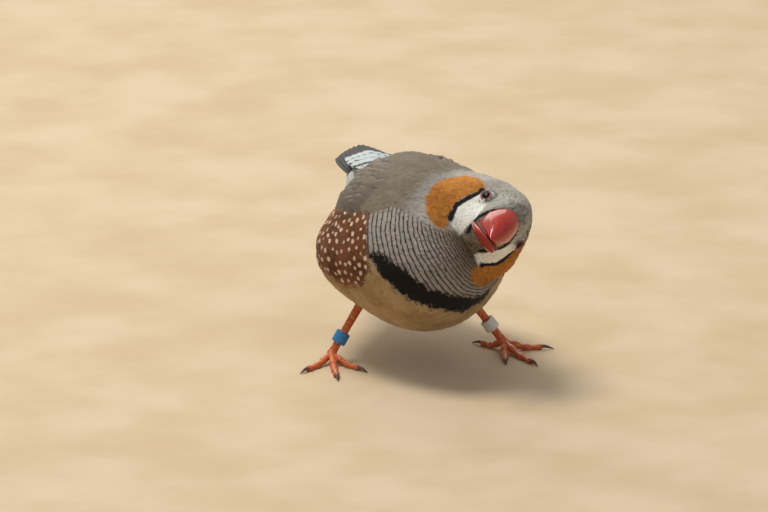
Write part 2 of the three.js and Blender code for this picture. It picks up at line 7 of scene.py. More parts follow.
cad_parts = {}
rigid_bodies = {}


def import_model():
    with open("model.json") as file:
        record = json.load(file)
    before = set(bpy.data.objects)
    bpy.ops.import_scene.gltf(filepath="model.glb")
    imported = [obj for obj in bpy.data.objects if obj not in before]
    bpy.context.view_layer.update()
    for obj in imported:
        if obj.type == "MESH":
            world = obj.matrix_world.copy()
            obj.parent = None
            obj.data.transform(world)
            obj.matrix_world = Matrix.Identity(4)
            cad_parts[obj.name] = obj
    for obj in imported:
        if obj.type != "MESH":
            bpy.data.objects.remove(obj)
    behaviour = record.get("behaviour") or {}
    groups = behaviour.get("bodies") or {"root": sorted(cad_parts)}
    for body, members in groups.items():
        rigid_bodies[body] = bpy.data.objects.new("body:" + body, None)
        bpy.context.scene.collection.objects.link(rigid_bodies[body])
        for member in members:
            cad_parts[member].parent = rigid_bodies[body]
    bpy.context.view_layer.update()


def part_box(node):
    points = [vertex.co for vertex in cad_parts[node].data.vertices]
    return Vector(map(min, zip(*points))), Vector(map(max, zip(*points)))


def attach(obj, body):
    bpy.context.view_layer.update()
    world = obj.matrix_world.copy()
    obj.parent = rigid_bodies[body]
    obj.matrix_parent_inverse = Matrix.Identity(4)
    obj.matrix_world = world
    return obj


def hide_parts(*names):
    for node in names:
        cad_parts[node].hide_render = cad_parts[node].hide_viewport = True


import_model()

# Sizes are in millimetres in the bird's own frame: it faces -Y, its left is +X and the floor is z = 0
mm = 0.001
torsoLow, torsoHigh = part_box("torso")
rumpEnd = 36.0  # where the torso's solid ends
bodyPlace = np.array([-1.4, -5.6, 1.6])  # the body's place over the feet
torsoMiddle = (torsoLow.x + torsoHigh.x) / 2
bodyOrigin = np.array([torsoMiddle / mm, torsoHigh.y / mm - rumpEnd, bodyPlace[2]])
feetOrigin = bodyOrigin - bodyPlace
sides = {"left": 1, "right": -1}


# Sums on arrays
def unit(v):
    return v / np.maximum(np.linalg.norm(v, axis=-1, keepdims=True), 1e-9)


def smooth(low, high, x):
    t = np.clip((x - low) / (high - low), 0, 1)
    return t * t * (3 - 2 * t)


def blend(a, b, t):
    return a + (b - a) * t


def least(*values):
    return np.minimum.reduce(values)


def distance(points, centre):
    return np.linalg.norm(points - centre, axis=1)


def circle(count):  # angles all round
    return np.arange(count) * 2 * math.pi / count


def turn(angle, axis):
    return np.array(Matrix.Rotation(math.radians(angle), 3, axis))


def rgb(code):  # a display colour as linear values
    parts = [int(code[i:i + 2], 16) / 255 for i in (0, 2, 4)]
    return tuple(p / 12.92 if p <= 0.04045 else ((p + 0.055) / 1.055) ** 2.4 for p in parts)


# Node trees: Wire is a socket that takes part in sums, and Tree.node adds any other node
def operator(operation, swapped=False):
    def act(wire, *others):
        values = (*others, wire) if swapped else (wire, *others)
        return wire.tree.maths(operation, *values)

    return act


class Wire:
    __add__, __radd__ = operator("ADD"), operator("ADD", True)
    __sub__, __rsub__ = operator("SUBTRACT"), operator("SUBTRACT", True)
    __mul__, __rmul__ = operator("MULTIPLY"), operator("MULTIPLY", True)
    __pow__, sine, size = operator("POWER"), operator("SINE"), operator("ABSOLUTE")

    def __init__(self, tree, socket):
        self.tree, self.socket = tree, socket

    def ramp(self, low, high):  # 0 to 1 between two values, eased
        values = {"Value": self, "From Min": low, "From Max": high}
        return self.tree.node("ShaderNodeMapRange", {"interpolation_type": "SMOOTHSTEP"}, values)


class Tree:
    def __init__(self, nodeTree, material=None):
        self.tree, self.material = nodeTree, material
        nodeTree.nodes.clear()

    def node(self, kind, settings=None, values=None, out=0):
        made = self.tree.nodes.new(kind)
        for key, value in (settings or {}).items():
            setattr(made, key, value)
        for key, value in (values or {}).items():
            named = [s for s in made.inputs if s.name == key and s.enabled]
            socket = made.inputs[key] if isinstance(key, int) else named[0]
            if isinstance(value, Wire):
                self.tree.links.new(value.socket, socket)
            elif socket.type == "RGBA":
                socket.default_value = (*(rgb(value) if isinstance(value, str) else value), 1)
            else:
                socket.default_value = value
        shown = [s for s in made.outputs if s.enabled]
        return Wire(self, shown[out]) if shown else made

    def maths(self, operation, *values):
        return self.node("ShaderNodeMath", {"operation": operation}, dict(enumerate(values)))

    def vector(self, operation, *values, **named):
        values = {**dict(enumerate(values)), **{key.capitalize(): value for key, value in named.items()}}
        return self.node("ShaderNodeVectorMath", {"operation": operation}, values)

    def mix(self, share, a, b, way="MIX"):
        settings = {"data_type": "RGBA", "blend_type": way, "clamp_factor": True}
        return self.node("ShaderNodeMix", settings, {0: share, 6: a, 7: b})

    def split(self, vector):
        return [self.node("ShaderNodeSeparateXYZ", {}, {0: vector}, n) for n in range(3)]

    def mark(self, name, out=2):  # an attribute: out 1 is its vector, 2 its number
        return self.node("ShaderNodeAttribute", {"attribute_name": name}, {}, out)

    def place(self):
        return self.node("ShaderNodeTexCoord", {}, {}, 3)

    def noise(self, scale, detail=2.0, stretch=None):
        place = self.vector("MULTIPLY", self.place(), stretch) if stretch else self.place()
        return self.node("ShaderNodeTexNoise", {}, {"Vector": place, "Scale": scale, "Detail": detail})

    def bump(self, height, strength, distance=0.0001):
        return self.node("ShaderNodeBump", {}, {"Height": height, "Strength": strength, "Distance": distance})

    def finish(self, colour, roughness, normal=None, **fixed):
        values = {"Base Color": colour, "Roughness": roughness}
        values.update({key.replace("_", " "): value for key, value in fixed.items()})
        if normal:
            values["Normal"] = normal
        shader = self.node("ShaderNodeBsdfPrincipled", {}, values)
        self.node("ShaderNodeOutputMaterial", {}, {"Surface": shader})
        return self.material


def newMaterial(name):
    made = bpy.data.materials.new(name)
    made.use_nodes = True
    return Tree(made.node_tree, made)


def grained(name, grain, tints, roughness, rise=0, **fixed):  # grain: scale, detail, and the mix's two ends
    tree = newMaterial(name)
    noise = tree.noise(*grain[:2])
    normal = tree.bump(noise, rise) if rise else None
    return tree.finish(tree.mix(noise.ramp(*grain[2:]), *tints), roughness, normal, **fixed)


# Meshes
def show(name, data):
    made = bpy.data.objects.new(name, data)
    bpy.context.scene.collection.objects.link(made)
    return made


def meshObject(name, points, faces, material=None):  # points in metres
    data = bpy.data.meshes.new(name)
    data.from_pydata(np.asarray(points, float).tolist(), [], faces)
    data.polygons.foreach_set("use_smooth", [True] * len(data.polygons))
    if material:
        data.materials.append(material)
    return show(name, data)


def settled(thing, name):  # the evaluated shape as a plain mesh of its own
    graph = bpy.context.evaluated_depsgraph_get()
    whole = thing.evaluated_get(graph)
    data = bpy.data.meshes.new_from_object(whole, preserve_all_data_layers=True, depsgraph=graph)
    data.name = name
    return show(name, data)


def read(source, key, wide=3, kind=float):
    flat = np.zeros(len(source) * wide, kind)
    source.foreach_get(key, flat)
    return flat.reshape(-1, wide)


def store(thing, name, values, domain="POINT"):
    values = np.asarray(values, np.float32)
    kind, key = ("FLOAT_VECTOR", "vector") if values.ndim == 2 else ("FLOAT", "value")
    thing.data.attributes.new(name, kind, domain).data.foreach_set(key, values.ravel())


def carried(piece, slot, *nodes):
    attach(piece, "root")
    if nodes:
        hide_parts(*nodes)


class Shape:  # gathers points and faces in millimetres, then makes one piece of them
    def __init__(self, origin=(0, 0, 0)):
        self.origin, self.points, self.faces, self.marks, self.count = origin, [], [], {}, 0

    def add(self, points, faces, **marks):
        points = np.asarray(points, float).reshape(-1, 3)
        self.faces += [[self.count + i for i in face] for face in faces]
        self.points.append(points)
        self.count += len(points)
        for key, value in marks.items():
            self.marks.setdefault(key, []).append(np.asarray(value, float).ravel() * np.ones(len(points)))

    def addHead(self, points, faces, **marks):  # the same in the head's frame
        self.add(headToBody(points), faces, **marks)

    def mesh(self, name, material=None, scale=mm):
        made = meshObject(name, (np.vstack(self.points) + self.origin) * scale, self.faces, material)
        for key, values in self.marks.items():
            store(made, key, np.concatenate(values))
        return made

    def make(self, name, material, slot, *nodes):
        carried(self.mesh(name, material), slot, *nodes)


def turned(faces):
    return [face[::-1] for face in faces]


def hoops(rows, around, closed):  # faces between rows of points that each go round
    return [(i * around + j, i * around + (j + 1) % around, (i + 1) % rows * around + (j + 1) % around,
             (i + 1) % rows * around + j) for i in range(rows if closed else rows - 1) for j in range(around)]


def tube(rings):  # faces for rings of equal length, closed by a pole at each end
    around = len(rings[1])
    points = np.vstack([rings[0][:1], *rings[1:-1], rings[-1][:1]])
    last, count = len(points) - 1, len(rings) - 2
    faces = []
    for j in range(around):
        k = (j + 1) % around
        faces.append((0, 1 + k, 1 + j))
        faces.append((last, last - around + j, last - around + k))
        for i in range(count - 1):
            a, b = 1 + i * around + j, 1 + i * around + k
            faces.append((a, b, b + around, a + around))
    return points, faces


def leaf(at, rows, columns):  # a thin closed leaf: at(along, across, face) gives its points, face 1 on top
    a, b = np.meshgrid(rows, columns, indexing="ij")
    points = np.vstack([at(a, b, 1).reshape(-1, 3), at(a, b, 0).reshape(-1, 3)])
    n, m = a.shape
    low = n * m
    faces = []
    for i in range(n - 1):
        for j in range(m - 1):
            p = i * m + j
            faces.append((p, p + 1, p + m + 1, p + m))
            faces.append((low + p, low + p + m, low + p + m + 1, low + p + 1))
        for p, q in ((i * m, i * m + m), (i * m + 2 * m - 1, i * m + m - 1)):
            faces.append((p, q, low + q, low + p))
    for j in range(m - 1):
        for p, q in ((j + 1, j), (low - m + j, low - m + j + 1)):
            faces.append((p, q, low + q, low + p))
    return points, faces, np.tile(a.ravel(), 2), np.tile(b.ravel(), 2)


dome = ((0.9, 0.4), (0.62, 0.74), (0.3, 0.93), (0, 1))  # a limb's end: radius and length, as shares


def limb(path, radii, count, around):  # rings along a smooth path, domed at both ends
    path = np.asarray(path, float)
    ends = np.vstack([2 * path[0] - path[1], path, 2 * path[-1] - path[-2]])
    t = np.linspace(0, 1, 24)[:, None]
    dense = np.vstack([
        0.5 * (2 * b + (c - a) * t + (2 * a - 5 * b + 4 * c - d) * t ** 2 + (3 * b - a - 3 * c + d) * t ** 3)
        for a, b, c, d in zip(ends, ends[1:], ends[2:], ends[3:])])
    run = np.concatenate([[0], np.cumsum(np.linalg.norm(np.diff(dense, axis=0), axis=1))])
    shares = np.linspace(0, 1, count)
    centres = np.column_stack([np.interp(shares * run[-1], run, dense[:, k]) for k in range(3)])
    tangents = unit(np.gradient(centres, axis=0))
    sizes = radii(shares) if callable(radii) else np.interp(shares, np.linspace(0, 1, len(radii)), radii)
    up = np.array([0, 0, 1.0]) if abs(tangents[0][2]) < 0.8 else np.array([0, -1.0, 0])
    angles = circle(around)[:, None]
    rings = []
    for centre, tangent, size in zip(centres, tangents, sizes):
        up = unit(up - tangent * up.dot(tangent))
        rings.append(centre + size * (np.sin(angles) * up + np.cos(angles) * np.cross(up, tangent)))
    caps = [centres[end] + share * (rings[end] - centres[end]) + way * push * sizes[end] * tangents[end]
            for end, way in ((0, -1), (-1, 1)) for share, push in dome]
    return [*caps[3::-1], *rings, *caps[4:]]


# Camera: a long lens, low in front and to the bird's right
view = {"azimuth": -14, "elevation": 16, "distance": 2.2, "scale": 4700, "wide": 768, "right": -7.02,
        "up": 20.0, "sensor": 36, "near": 0.05, "far": 20}


def makeCamera():
    facing = turn(view["azimuth"], "Z") @ turn(90 - view["elevation"], "X")
    right, up, back = facing.T
    aim = (feetOrigin + right * view["right"] + up * view["up"]) * mm
    lens = bpy.data.cameras.new("camera")
    lens.sensor_width = view["sensor"]
    lens.lens = view["scale"] * view["distance"] / view["wide"] * view["sensor"]
    lens.clip_start, lens.clip_end = view["near"], view["far"]
    camera = show("camera", lens)
    place = Matrix.Translation(Vector(aim + back * view["distance"]))
    camera.matrix_world = place @ Matrix(facing.tolist()).to_4x4()
    bpy.context.scene.camera = camera


studio = {
    "sky": 0.42, "skyTint": "f7f6f4", "floor": ("cdba9d", "c2ad8c"), "grain": (40.0, 4.0, 0.3, 0.7),
    "reach": 3.0, "aim": (0, 0, 0.02),
    "lamps": {"key": {"power": 5.6, "size": 0.3, "place": (-0.22, 0.06, 0.82), "tint": "fffaf2"},
              "back": {"power": 2.8, "size": 0.6, "place": (0.03, 0.76, 0.48), "tint": "fffaf2"},
              "fill": {"power": 0.6, "size": 0.8, "place": (0.6, -0.8, 0.35), "tint": "f2f5ff"}},
}


def makeStudio():
    corners = [(x * studio["reach"], y * studio["reach"], 0) for x, y in ((-1, -1), (1, -1), (1, 1), (-1, 1))]
    material = grained("pale_floor", studio["grain"], studio["floor"], 0.9)
    meshObject("floor", corners, [(0, 1, 2, 3)], material)
    for name, look in studio["lamps"].items():
        lamp = bpy.data.lights.new(name, "AREA")
        lamp.energy, lamp.size, lamp.color = look["power"], look["size"], rgb(look["tint"])
        thing = show(name, lamp)
        thing.location = look["place"]
        aim = Vector(studio["aim"]) - Vector(look["place"])
        thing.rotation_euler = aim.to_track_quat("-Z", "Y").to_euler()
    world = bpy.data.worlds.new("studio")
    world.use_nodes = True
    sky = world.node_tree.nodes["Background"]
    sky.inputs["Color"].default_value = (*rgb(studio["skyTint"]), 1)
    sky.inputs["Strength"].default_value = studio["sky"]
    bpy.context.scene.world = world
    bpy.context.scene.view_settings.view_transform = "Standard"


makeCamera()
makeStudio()
print("camera, floor and lights set")

# The body's forms: at each y the centre's height and the reach to the side, up and down
trunkForm = {
    "y": [-28, -20, -10, 0, 10, 20, 30, 38, 46],
    "z": [25.4, 25.0, 24.4, 24.0, 24.0, 24.4, 25.6, 26.6, 27.0],
    "side": [13.6, 15.4, 17.0, 18.0, 16.6, 12.7, 8.8, 6.3, 4.6],
    "up": [13.0, 15.2, 17.4, 18.6, 17.4, 11.9, 6.6, 4.6, 2.8],
    "down": [14.2, 16.2, 17.4, 17.6, 17.2, 14.4, 9.8, 6.0, 3.6],
    "roof": [0.0, 0.02, 0.06, 0.12, 0.24, 0.3, 0.3, 0.2, 0.1],
    "front": 21, "back": 6, "depth": 0.75, "rings": (60, 72),
    "fluff": {"y": 5, "angle": -9, "reach": 3.5, "length": 13, "width": 28},
}
headForm = {
    "y": [-8, -5, -2, 1.5, 6, 14],
    "z": [-2.2, -2.5, -2.9, -3.2, -3.4, -4.0],
    "side": [4.3, 4.8, 5.7, 7.2, 9.1, 8.8],
    "up": [6.0, 7.7, 9.0, 9.8, 10.0, 9.4],
    "down": [4.8, 5.2, 6.6, 8.2, 9.6, 9.6],
    "roof": [0, 0, 0.02, 0.06, 0.08, 0.04],
    "front": 3.2, "back": 9, "depth": 0.5, "rings": (40, 56),
    "fluff": {"y": 7, "angle": -22, "reach": 2.3, "length": 4.4, "width": 30},
}
neckForm = {"path": [(2.5, -1, 27), (6.4, -8, 29.2), (9.2, -13.5, 31.4), (10.6, -17, 32.6)],
            "radii": [15.2, 14, 11.5, 9.6], "depth": 0.75, "rings": (30, 56)}
closing = 2.1  # the power by which a form closes at its ends
headPlace = np.array([12.5, -24, 34.8])
headTurn = turn(-8, "Z") @ turn(-9.5, "X") @ turn(57, "Y")


def readRow(form, key, y):  # a smooth value through a form's rows
    rows, values = np.array(form["y"], float), np.array(form[key], float)
    last = len(rows) - 1
    low, high = np.maximum(np.arange(last + 1) - 1, 0), np.minimum(np.arange(last + 1) + 1, last)
    slope = (values[high] - values[low]) / (rows[high] - rows[low])
    i = np.clip(np.searchsorted(rows, y, "left") - 1, 0, last - 1)
    span = rows[i + 1] - rows[i]
    t = np.clip((y - rows[i]) / span, 0, 1)
    bend = (3 - 2 * t) * t * t
    return (values[i] * (1 - bend) + values[i + 1] * bend
            + span * (slope[i] * t * (1 - t) ** 2 - slope[i + 1] * t * t * (1 - t)))


def formPoint(form, y, angle, lift=0.0, endless=False):  # angle 0 at +X and 90 on top, lift along the normal
    y, angle, lift = np.broadcast_arrays(*(np.asarray(value, float) for value in (y, angle, lift)))
    fluff = form["fluff"]

    def surface(y, angle):
        c, s = np.cos(np.radians(angle)), np.sin(np.radians(angle))
        ahead = np.maximum(0, 1 - (y - form["y"][0]) / form["front"])
        behind = np.maximum(0, 1 - (form["y"][-1] - y) / form["back"])
        ends = np.maximum(ahead, behind)
        ends = np.where(y > 0, 0, ends) if endless else ends
        close = np.sqrt(np.maximum(0, 1 - ends ** closing))
        away = (np.where(c < 0, 180 - angle, angle) - fluff["angle"] + 540) % 360 - 180
        swell = np.exp(-((y - fluff["y"]) / fluff["length"]) ** 2 - (away / fluff["width"]) ** 2)
        extra = fluff["reach"] * swell
        reach = (readRow(form, "side", y) + extra) * close * (1 - readRow(form, "roof", y) * np.maximum(0, s))
        rise = (np.where(s > 0, readRow(form, "up", y), readRow(form, "down", y)) + extra) * close
        return np.stack([reach * c, y, readRow(form, "z", y) + rise * s], -1)

    step = 0.02
    along = surface(y + step, angle) - surface(y - step, angle)
    across = surface(y, angle + 1) - surface(y, angle - 1)
    return surface(y, angle) - unit(np.cross(across, along)) * lift[..., None]


def formRings(form):
    front, back, depth = form["y"][0], form["y"][-1], form["depth"]
    count, around = form["rings"]
    rings = []
    for i in range(count + 1):
        y = (front + back) / 2 - (back - front) / 2 * math.cos(math.pi * i / count)
        if i in (0, count):
            rings.append(formPoint(form, [y + (depth if i == 0 else -depth)], [0.0]) * [0, 1, 1])
            rings[-1][0, 2] = readRow(form, "z", y)
        else:
            rings.append(formPoint(form, y, np.arange(around) * 360 / around, -depth))
    return rings


def headToBody(points):
    return np.asarray(points) @ headTurn.T + headPlace


def bodyToHead(points):
    return (np.asarray(points) - headPlace) @ headTurn


# Eyes: where they sit in the head
eye = {"side": 5.1, "y": -0.4, "z": -0.35, "radius": 1.8, "forward": 34, "rise": 0.05, "lids": 2.0,
       "plane": 1.45}


def eyeFrame(way):  # an eye's centre and the way that it looks
    forward = math.radians(eye["forward"])
    axis = unit(np.array([math.cos(forward) * way, -math.sin(forward), eye["rise"]]))
    return np.array([eye["side"] * way, eye["y"], eye["z"]]), axis


def sphereRings(centre, axis, radius, count, around, cap=math.inf):  # cap: where the ball is cut flat
    side = unit(np.cross(axis, [0, 0, 1.0]))
    angles = circle(around)[:, None]
    rings = []
    for i in range(count + 1):
        polar = math.pi * i / count
        out = np.cos(angles) * side + np.sin(angles) * np.cross(side, axis)
        rings.append(centre + axis * min(cap, radius * math.cos(polar)) + radius * math.sin(polar) * out)
    return rings


# The markings, as fields in millimetres that are above 0 inside each mark
throat = np.array([8.6, -20.8, 31.3])  # the breast's bars ring this point
bars = {"start": 0.36, "grow": 0.027}  # their spacing at the throat, and its growth away from it
cheekOutline = np.array([
    (2.2, 0.5), (4.8, 0.8), (7.6, 0.2), (9.8, -1.8), (10.3, -4.7), (8.6, -6.9), (6.6, -8.9), (4.7, -10.9),
    (2.8, -12.0), (1.0, -12.8), (-0.5, -12.8), (-1.1, -11.9), (-0.6, -10.8), (0.8, -9.2), (2.0, -7.6),
    (2.5, -6.0), (2.3, -4.2), (1.9, -2.4), (1.6, -0.9)])
stripeOutline = np.array([
    (1.4, -0.9), (1.2, -2.9), (1.6, -4.6), (2.0, -6.4), (1.1, -8.3), (-0.2, -9.9), (-1.1, -9.6), (-1.7, -8.2),
    (-2.7, -7.0), (-3.9, -6.2), (-4.6, -4.3), (-4.2, -2.6), (-3.0, -1.5), (-1.6, -0.9)])
tearPath = np.array([
    (2.0, -0.2), (1.2, -1.3), (1.4, -2.9), (1.8, -4.6), (2.2, -6.4), (1.4, -8.2), (0.5, -9.5)])
gapePath = np.array([(-6.6, 0.6), (-6.2, -1.2), (-5.6, -3.0), (-4.6, -5.2), (-3.4, -7.2), (-2.4, -8.6)])
lines = {"tear": 0.5, "tearGrow": -0.15, "tearFade": (-6, -10), "gape": 0.42}  # half widths, and a taper
faceMarks = {"off": 3.2, "stripeOff": 0.7, "gapeOff": 1.2, "reach": 19.5}  # how far off the middle they start
lores = {"y": 3.2, "z": 0.2, "flat": 0.75, "radius": 3.2, "off": 2.6}
chin = {"top": -5.9, "reach": 9}
greyEdge = {"reach": (23, 14.5), "lean": 0.35, "level": 38}
spots = {"apart": 1.7, "radius": 0.48, "seed": 7, "edge": 0.5, "vary": (0.75, 1.2), "outside": -9.0}
breastRim = {  # heights round the breast, by the angle from straight ahead to the bird's left
    "angle": [-68, -50, -43, -39, -34, -27, -19, -14, -5, 3, 13, 24, 31, 40, 50, 60],
    "bandTop": [26, 26, 26.5, 27.2, 27.4, 26.2, 25.0, 22.8, 20.9, 19.6, 18.1, 17.5, 18.6, 21.5, 25, 26],
    "bandLow": [30, 29.5, 27.2, 25.1, 23.7, 20.6, 18.5, 17.8, 16.6, 15.4, 14.7, 16.3, 18.0, 20.6, 26, 30],
    "barsTop": [33, 33.5, 34.7, 35.1, 35.6, 36.0, 35.4, 34.7, 33.6, 32.8, 31.6, 31.4, 32, 33, 34, 34],
    "back": -8.0, "inset": 0.5,
}
flankRim = {
    "z": [12, 16.6, 19.4, 23.4, 27.1, 29.9, 33.3], "front": [6, -6, -12.9, -15.8, -15.2, -13.3, -10.8],
    "y": [-16, -13, -7, -2.6, 0.6, 12, 22, 33], "low": [21, 19.4, 17.9, 17.9, 19.2, 18.6, 20.4, 25.5],
    "high": [33.6, 33.6, 33.3, 32.7, 32.4, 32.0, 30.6, 27.0], "off": 6, "back": 33,
}
bellyRim = {"y": [-8, 10, 33], "z": [19, 20, 24.5], "front": 26}
rumpStart = {"y": 19, "z": 24}


def edgeDistance(points, a, b):
    share = np.clip(((points - a) @ (b - a)) / ((b - a) @ (b - a)), 0, 1)
    return np.linalg.norm(points - a - share[:, None] * (b - a), axis=1)


def pathDistance(points, path):
    return np.min([edgeDistance(points, a, b) for a, b in zip(path[:-1], path[1:])], axis=0)


def insideDistance(points, outline):
    inside = np.zeros(len(points), bool)
    for a, b in zip(outline, np.roll(outline, -1, axis=0)):
        crosses = (a[1] > points[:, 1]) != (b[1] > points[:, 1])
        flat = b[1] - a[1] if b[1] != a[1] else 1e-9
        inside ^= crosses & (points[:, 0] < (b[0] - a[0]) * (points[:, 1] - a[1]) / flat + a[0])
    best = pathDistance(points, np.vstack([outline, outline[:1]]))
    return np.where(inside, best, -best)


def spotField(points, flank):  # distance inside the nearest of the flank's round spots
    random = np.random.default_rng(spots["seed"])
    best = np.full(len(points), spots["outside"])
    left = points[random.permutation(np.flatnonzero(flank > spots["edge"]))]
    while len(left):
        centre = left[0]
        best = np.maximum(best, spots["radius"] * random.uniform(*spots["vary"]) - distance(points, centre))
        left = left[distance(left, centre) > spots["apart"]]
    return best


def markings(points):
    x, y, z = points.T
    head = bodyToHead(points)
    profile = head[:, 1:]  # the head seen from its side
    offMiddle = np.abs(head[:, 0]) - faceMarks["off"]
    fromHead = distance(points, headPlace)
    near = faceMarks["reach"] - fromHead
    tearWide = lines["tear"] + lines["tearGrow"] * smooth(*lines["tearFade"], profile[:, 1])
    tear = least(tearWide - pathDistance(profile, tearPath), offMiddle, near)
    gape = least(lines["gape"] - pathDistance(profile, gapePath), offMiddle + faceMarks["gapeOff"], near)
    loresAway = np.hypot(head[:, 1] + lores["y"], (head[:, 2] + lores["z"]) * lores["flat"])
    reach = distance(points, throat)
    angle = np.degrees(np.arctan2(x, -y))
    bandTop, bandLow, barsTop = (np.interp(angle, breastRim["angle"], breastRim[key])
                                 for key in ("bandTop", "bandLow", "barsTop"))
    ahead = breastRim["back"] - y
    front = np.interp(z, flankRim["z"], flankRim["front"])
    low, high = (np.interp(y, flankRim["y"], flankRim[key]) for key in ("low", "high"))
    flank = least(y - front, np.abs(x) - flankRim["off"], high - z, z - low, flankRim["back"] - y)
    underChin = least(chin["top"] - head[:, 2], chin["reach"] - np.linalg.norm(head, axis=1))
    return {
        "cheek": least(insideDistance(profile, cheekOutline), offMiddle, near),
        "stripe": least(insideDistance(profile, stripeOutline), offMiddle + faceMarks["stripeOff"], near),
        "line": np.maximum(tear, gape),
        "band": least(bandTop - z, z - bandLow, ahead),
        "flank": flank,
        "breast": np.maximum(least(barsTop - z, ahead - breastRim["inset"]), underChin),
        "belly": np.where(ahead > 0, np.minimum(bandLow, bellyRim["front"]),
                          np.interp(y, bellyRim["y"], bellyRim["z"])) - z,
        "grey": smooth(*greyEdge["reach"], fromHead + greyEdge["lean"] * (z - greyEdge["level"])),
        "lores": least(lores["radius"] - loresAway, np.abs(head[:, 0]) - lores["off"]),
        "phase": np.log(1 + bars["grow"] / bars["start"] * reach) / bars["grow"],
        "spot": spotField(points, flank),
        "rump": least(y - rumpStart["y"], z - rumpStart["z"]),
    }


billBase = np.array([0, -9, -2.2])  # where the face's feathers part, in the head's frame
lieSizes = {"back": (0, 1.0, -0.14), "throat": (1.5, -1, 4), "crown": (0, 0, -1.5), "onHead": (13.5, 8.5),
            "onThroat": (27, 12), "least": 0.25, "more": 0.7}


def lieOf(points, normals):  # which way the feathers lie
    head = bodyToHead(points)
    onHead = smooth(*lieSizes["onHead"], distance(head, lieSizes["crown"]))[:, None]
    fromBill = unit(head - billBase) @ headTurn.T
    fromThroat = unit(points - throat - lieSizes["throat"])
    near = smooth(*lieSizes["onThroat"], distance(points, throat))[:, None]
    share = lieSizes["least"] + lieSizes["more"] * near
    way = blend(blend(np.array(lieSizes["back"]), fromThroat, share), fromBill, onHead)
    return unit(way - normals * np.sum(way * normals, axis=1, keepdims=True))


# Plumage: one finish for the skin and for the coat, which reads the fields above
packs = {"marksA": ("cheek", "stripe", "line"), "marksB": ("band", "flank", "breast"),
         "marksC": ("belly", "grey", "lores"), "marksD": ("phase", "spot", "rump")}
tints = {
    "mantle": ("857b6a", "6f6555"), "crown": "aaa59b", "crownDark": "4a4741", "nape": "98928a",
    # painted shade: the belly's two tints are darker than its own buff, as for an underside in shade
    # painted shade: the first of the pale bars' two tints is the darker, browner one used near the throat,
    # under the head
    "paleBarsShaded": ("7d674a", "a59d96"), "barDark": "2f363a", "band": "100a09", "belly": ("9a7d57", "b49973"),
    "flank": ("7b4b2b", "52301a"), "spot": "ddc0aa", "cheek": ("c28133", "9d6021"), "line": "14131a",
    "stripe": ("f2f2ec", "d6d4cb"), "lores": "b7b4aa", "rump": ("b8bebd", "8e9090"),
}
plumageNoise = {"fine": (1500.0, 3.0), "broad": (170.0, 3.0), "speck": (2300.0, 1.0), "mottle": (520.0, 3.0)}
markEdges = {  # from the lowest layer up: how much a mark's edge strays, and where it starts and ends
    "rump": (1.0, -1.0, 1.5), "breast": (1.4, -0.5, 1.0), "belly": (1.0, -0.5, 0.5),
    "band": (1.8, -0.5, 0.5), "flank": (1.3, -0.6, 0.6), "lores": (1.0, -1.0, 1.2),
    "stripe": (0.6, -0.3, 0.3), "cheek": (0.6, -0.3, 0.3), "line": (0.3, -0.14, 0.16),
}


def makePlumage(name, onCoat):
    tree = newMaterial(name)
    field = {}
    for pack, keys in packs.items():
        field.update(zip(keys, tree.split(tree.mark(pack, 1))))
    fine, broad, speck, mottle = (tree.noise(*grain) for grain in plumageNoise.values())
    chance = tree.mark("chance") if onCoat else tree.noise(900.0)
    jitter, off = fine - 0.5, chance - 0.5
    stray = jitter * 0.9 + off * 0.5  # how far a mark's edge strays, in mm
    even = broad.ramp(0.3, 0.7)
    fleck, grey, phase = tree.mark("fleck"), field["grey"], field["phase"]

    crown = tree.mix(grey.ramp(0.55, 1.0), tints["nape"], tints["crown"])
    flecks = (speck + jitter * 0.3).ramp(0.5, 0.66)
    crown = tree.mix(mottle.ramp(0.44, 0.66) * fleck * 0.42, crown, tints["crownDark"])
    crown = tree.mix(flecks * (0.12 + 0.6 * fleck), crown, tints["crownDark"])
    mantle = tree.mix((chance * 0.5 + broad * 0.6).ramp(0.25, 0.85), *tints["mantle"])
    colour = tree.mix((grey + jitter * 0.25 + off * 0.2).ramp(0.05, 0.6), mantle, crown)
    wave = ((phase + (broad - 0.5) * 1.3 + off * 0.25) * (2 * math.pi)).sine()
    # painted shade: the pale bars between the dark ones turn darker and browner near the throat, under the
    # head
    paleBarsShaded = tree.mix(phase.ramp(10.0, 32.0), *tints["paleBarsShaded"])
    chestnut = tree.mix((broad * 0.6 + fine * 0.4).ramp(0.35, 0.65), *tints["flank"])
    tones = {
        "rump": tree.mix(even, *tints["rump"]),
        "breast": tree.mix((wave * 0.5 + fine * 0.6).ramp(-0.18, 0.16), tints["barDark"], paleBarsShaded),
        # painted shade: the belly's tints are its own buff darkened, as for an underside in shade
        "belly": tree.mix(even, *tints["belly"]),
        "band": tints["band"],
        "flank": tree.mix((field["spot"] + jitter * 0.4).ramp(-0.16, 0.12), chestnut, tints["spot"]),
        "lores": tree.mix(flecks * 0.4, tints["lores"], tints["crownDark"]),
        "stripe": tree.mix(fine.ramp(0.5, 0.8), *tints["stripe"]),
        "cheek": tree.mix((fine * 0.5 + broad * 0.5).ramp(0.35, 0.7), *tints["cheek"]),
        "line": tints["line"],
    }
    for key, (share, low, high) in markEdges.items():
        colour = tree.mix((field[key] + stray * share).ramp(low, high), colour, tones[key])
    if onCoat:
        # painted shade: each tuft is darker at its root, where it lies under the tufts above, and lighter at
        # its tip, with a random tone per tuft
        shade = 0.68 + 0.42 * tree.mark("along") + off * 0.2
        gain = tree.node("ShaderNodeCombineColor", {}, {n: shade for n in range(3)})
        colour = tree.mix(1.0, colour, gain, "MULTIPLY")
    return tree.finish(colour, 0.8, tree.bump(fine, 0.25, 0.0002), Sheen_Weight=0.1, Specular_IOR_Level=0.25)


skinFinish, coatFinish = makePlumage("plumage_skin", False), makePlumage("plumage_coat", True)

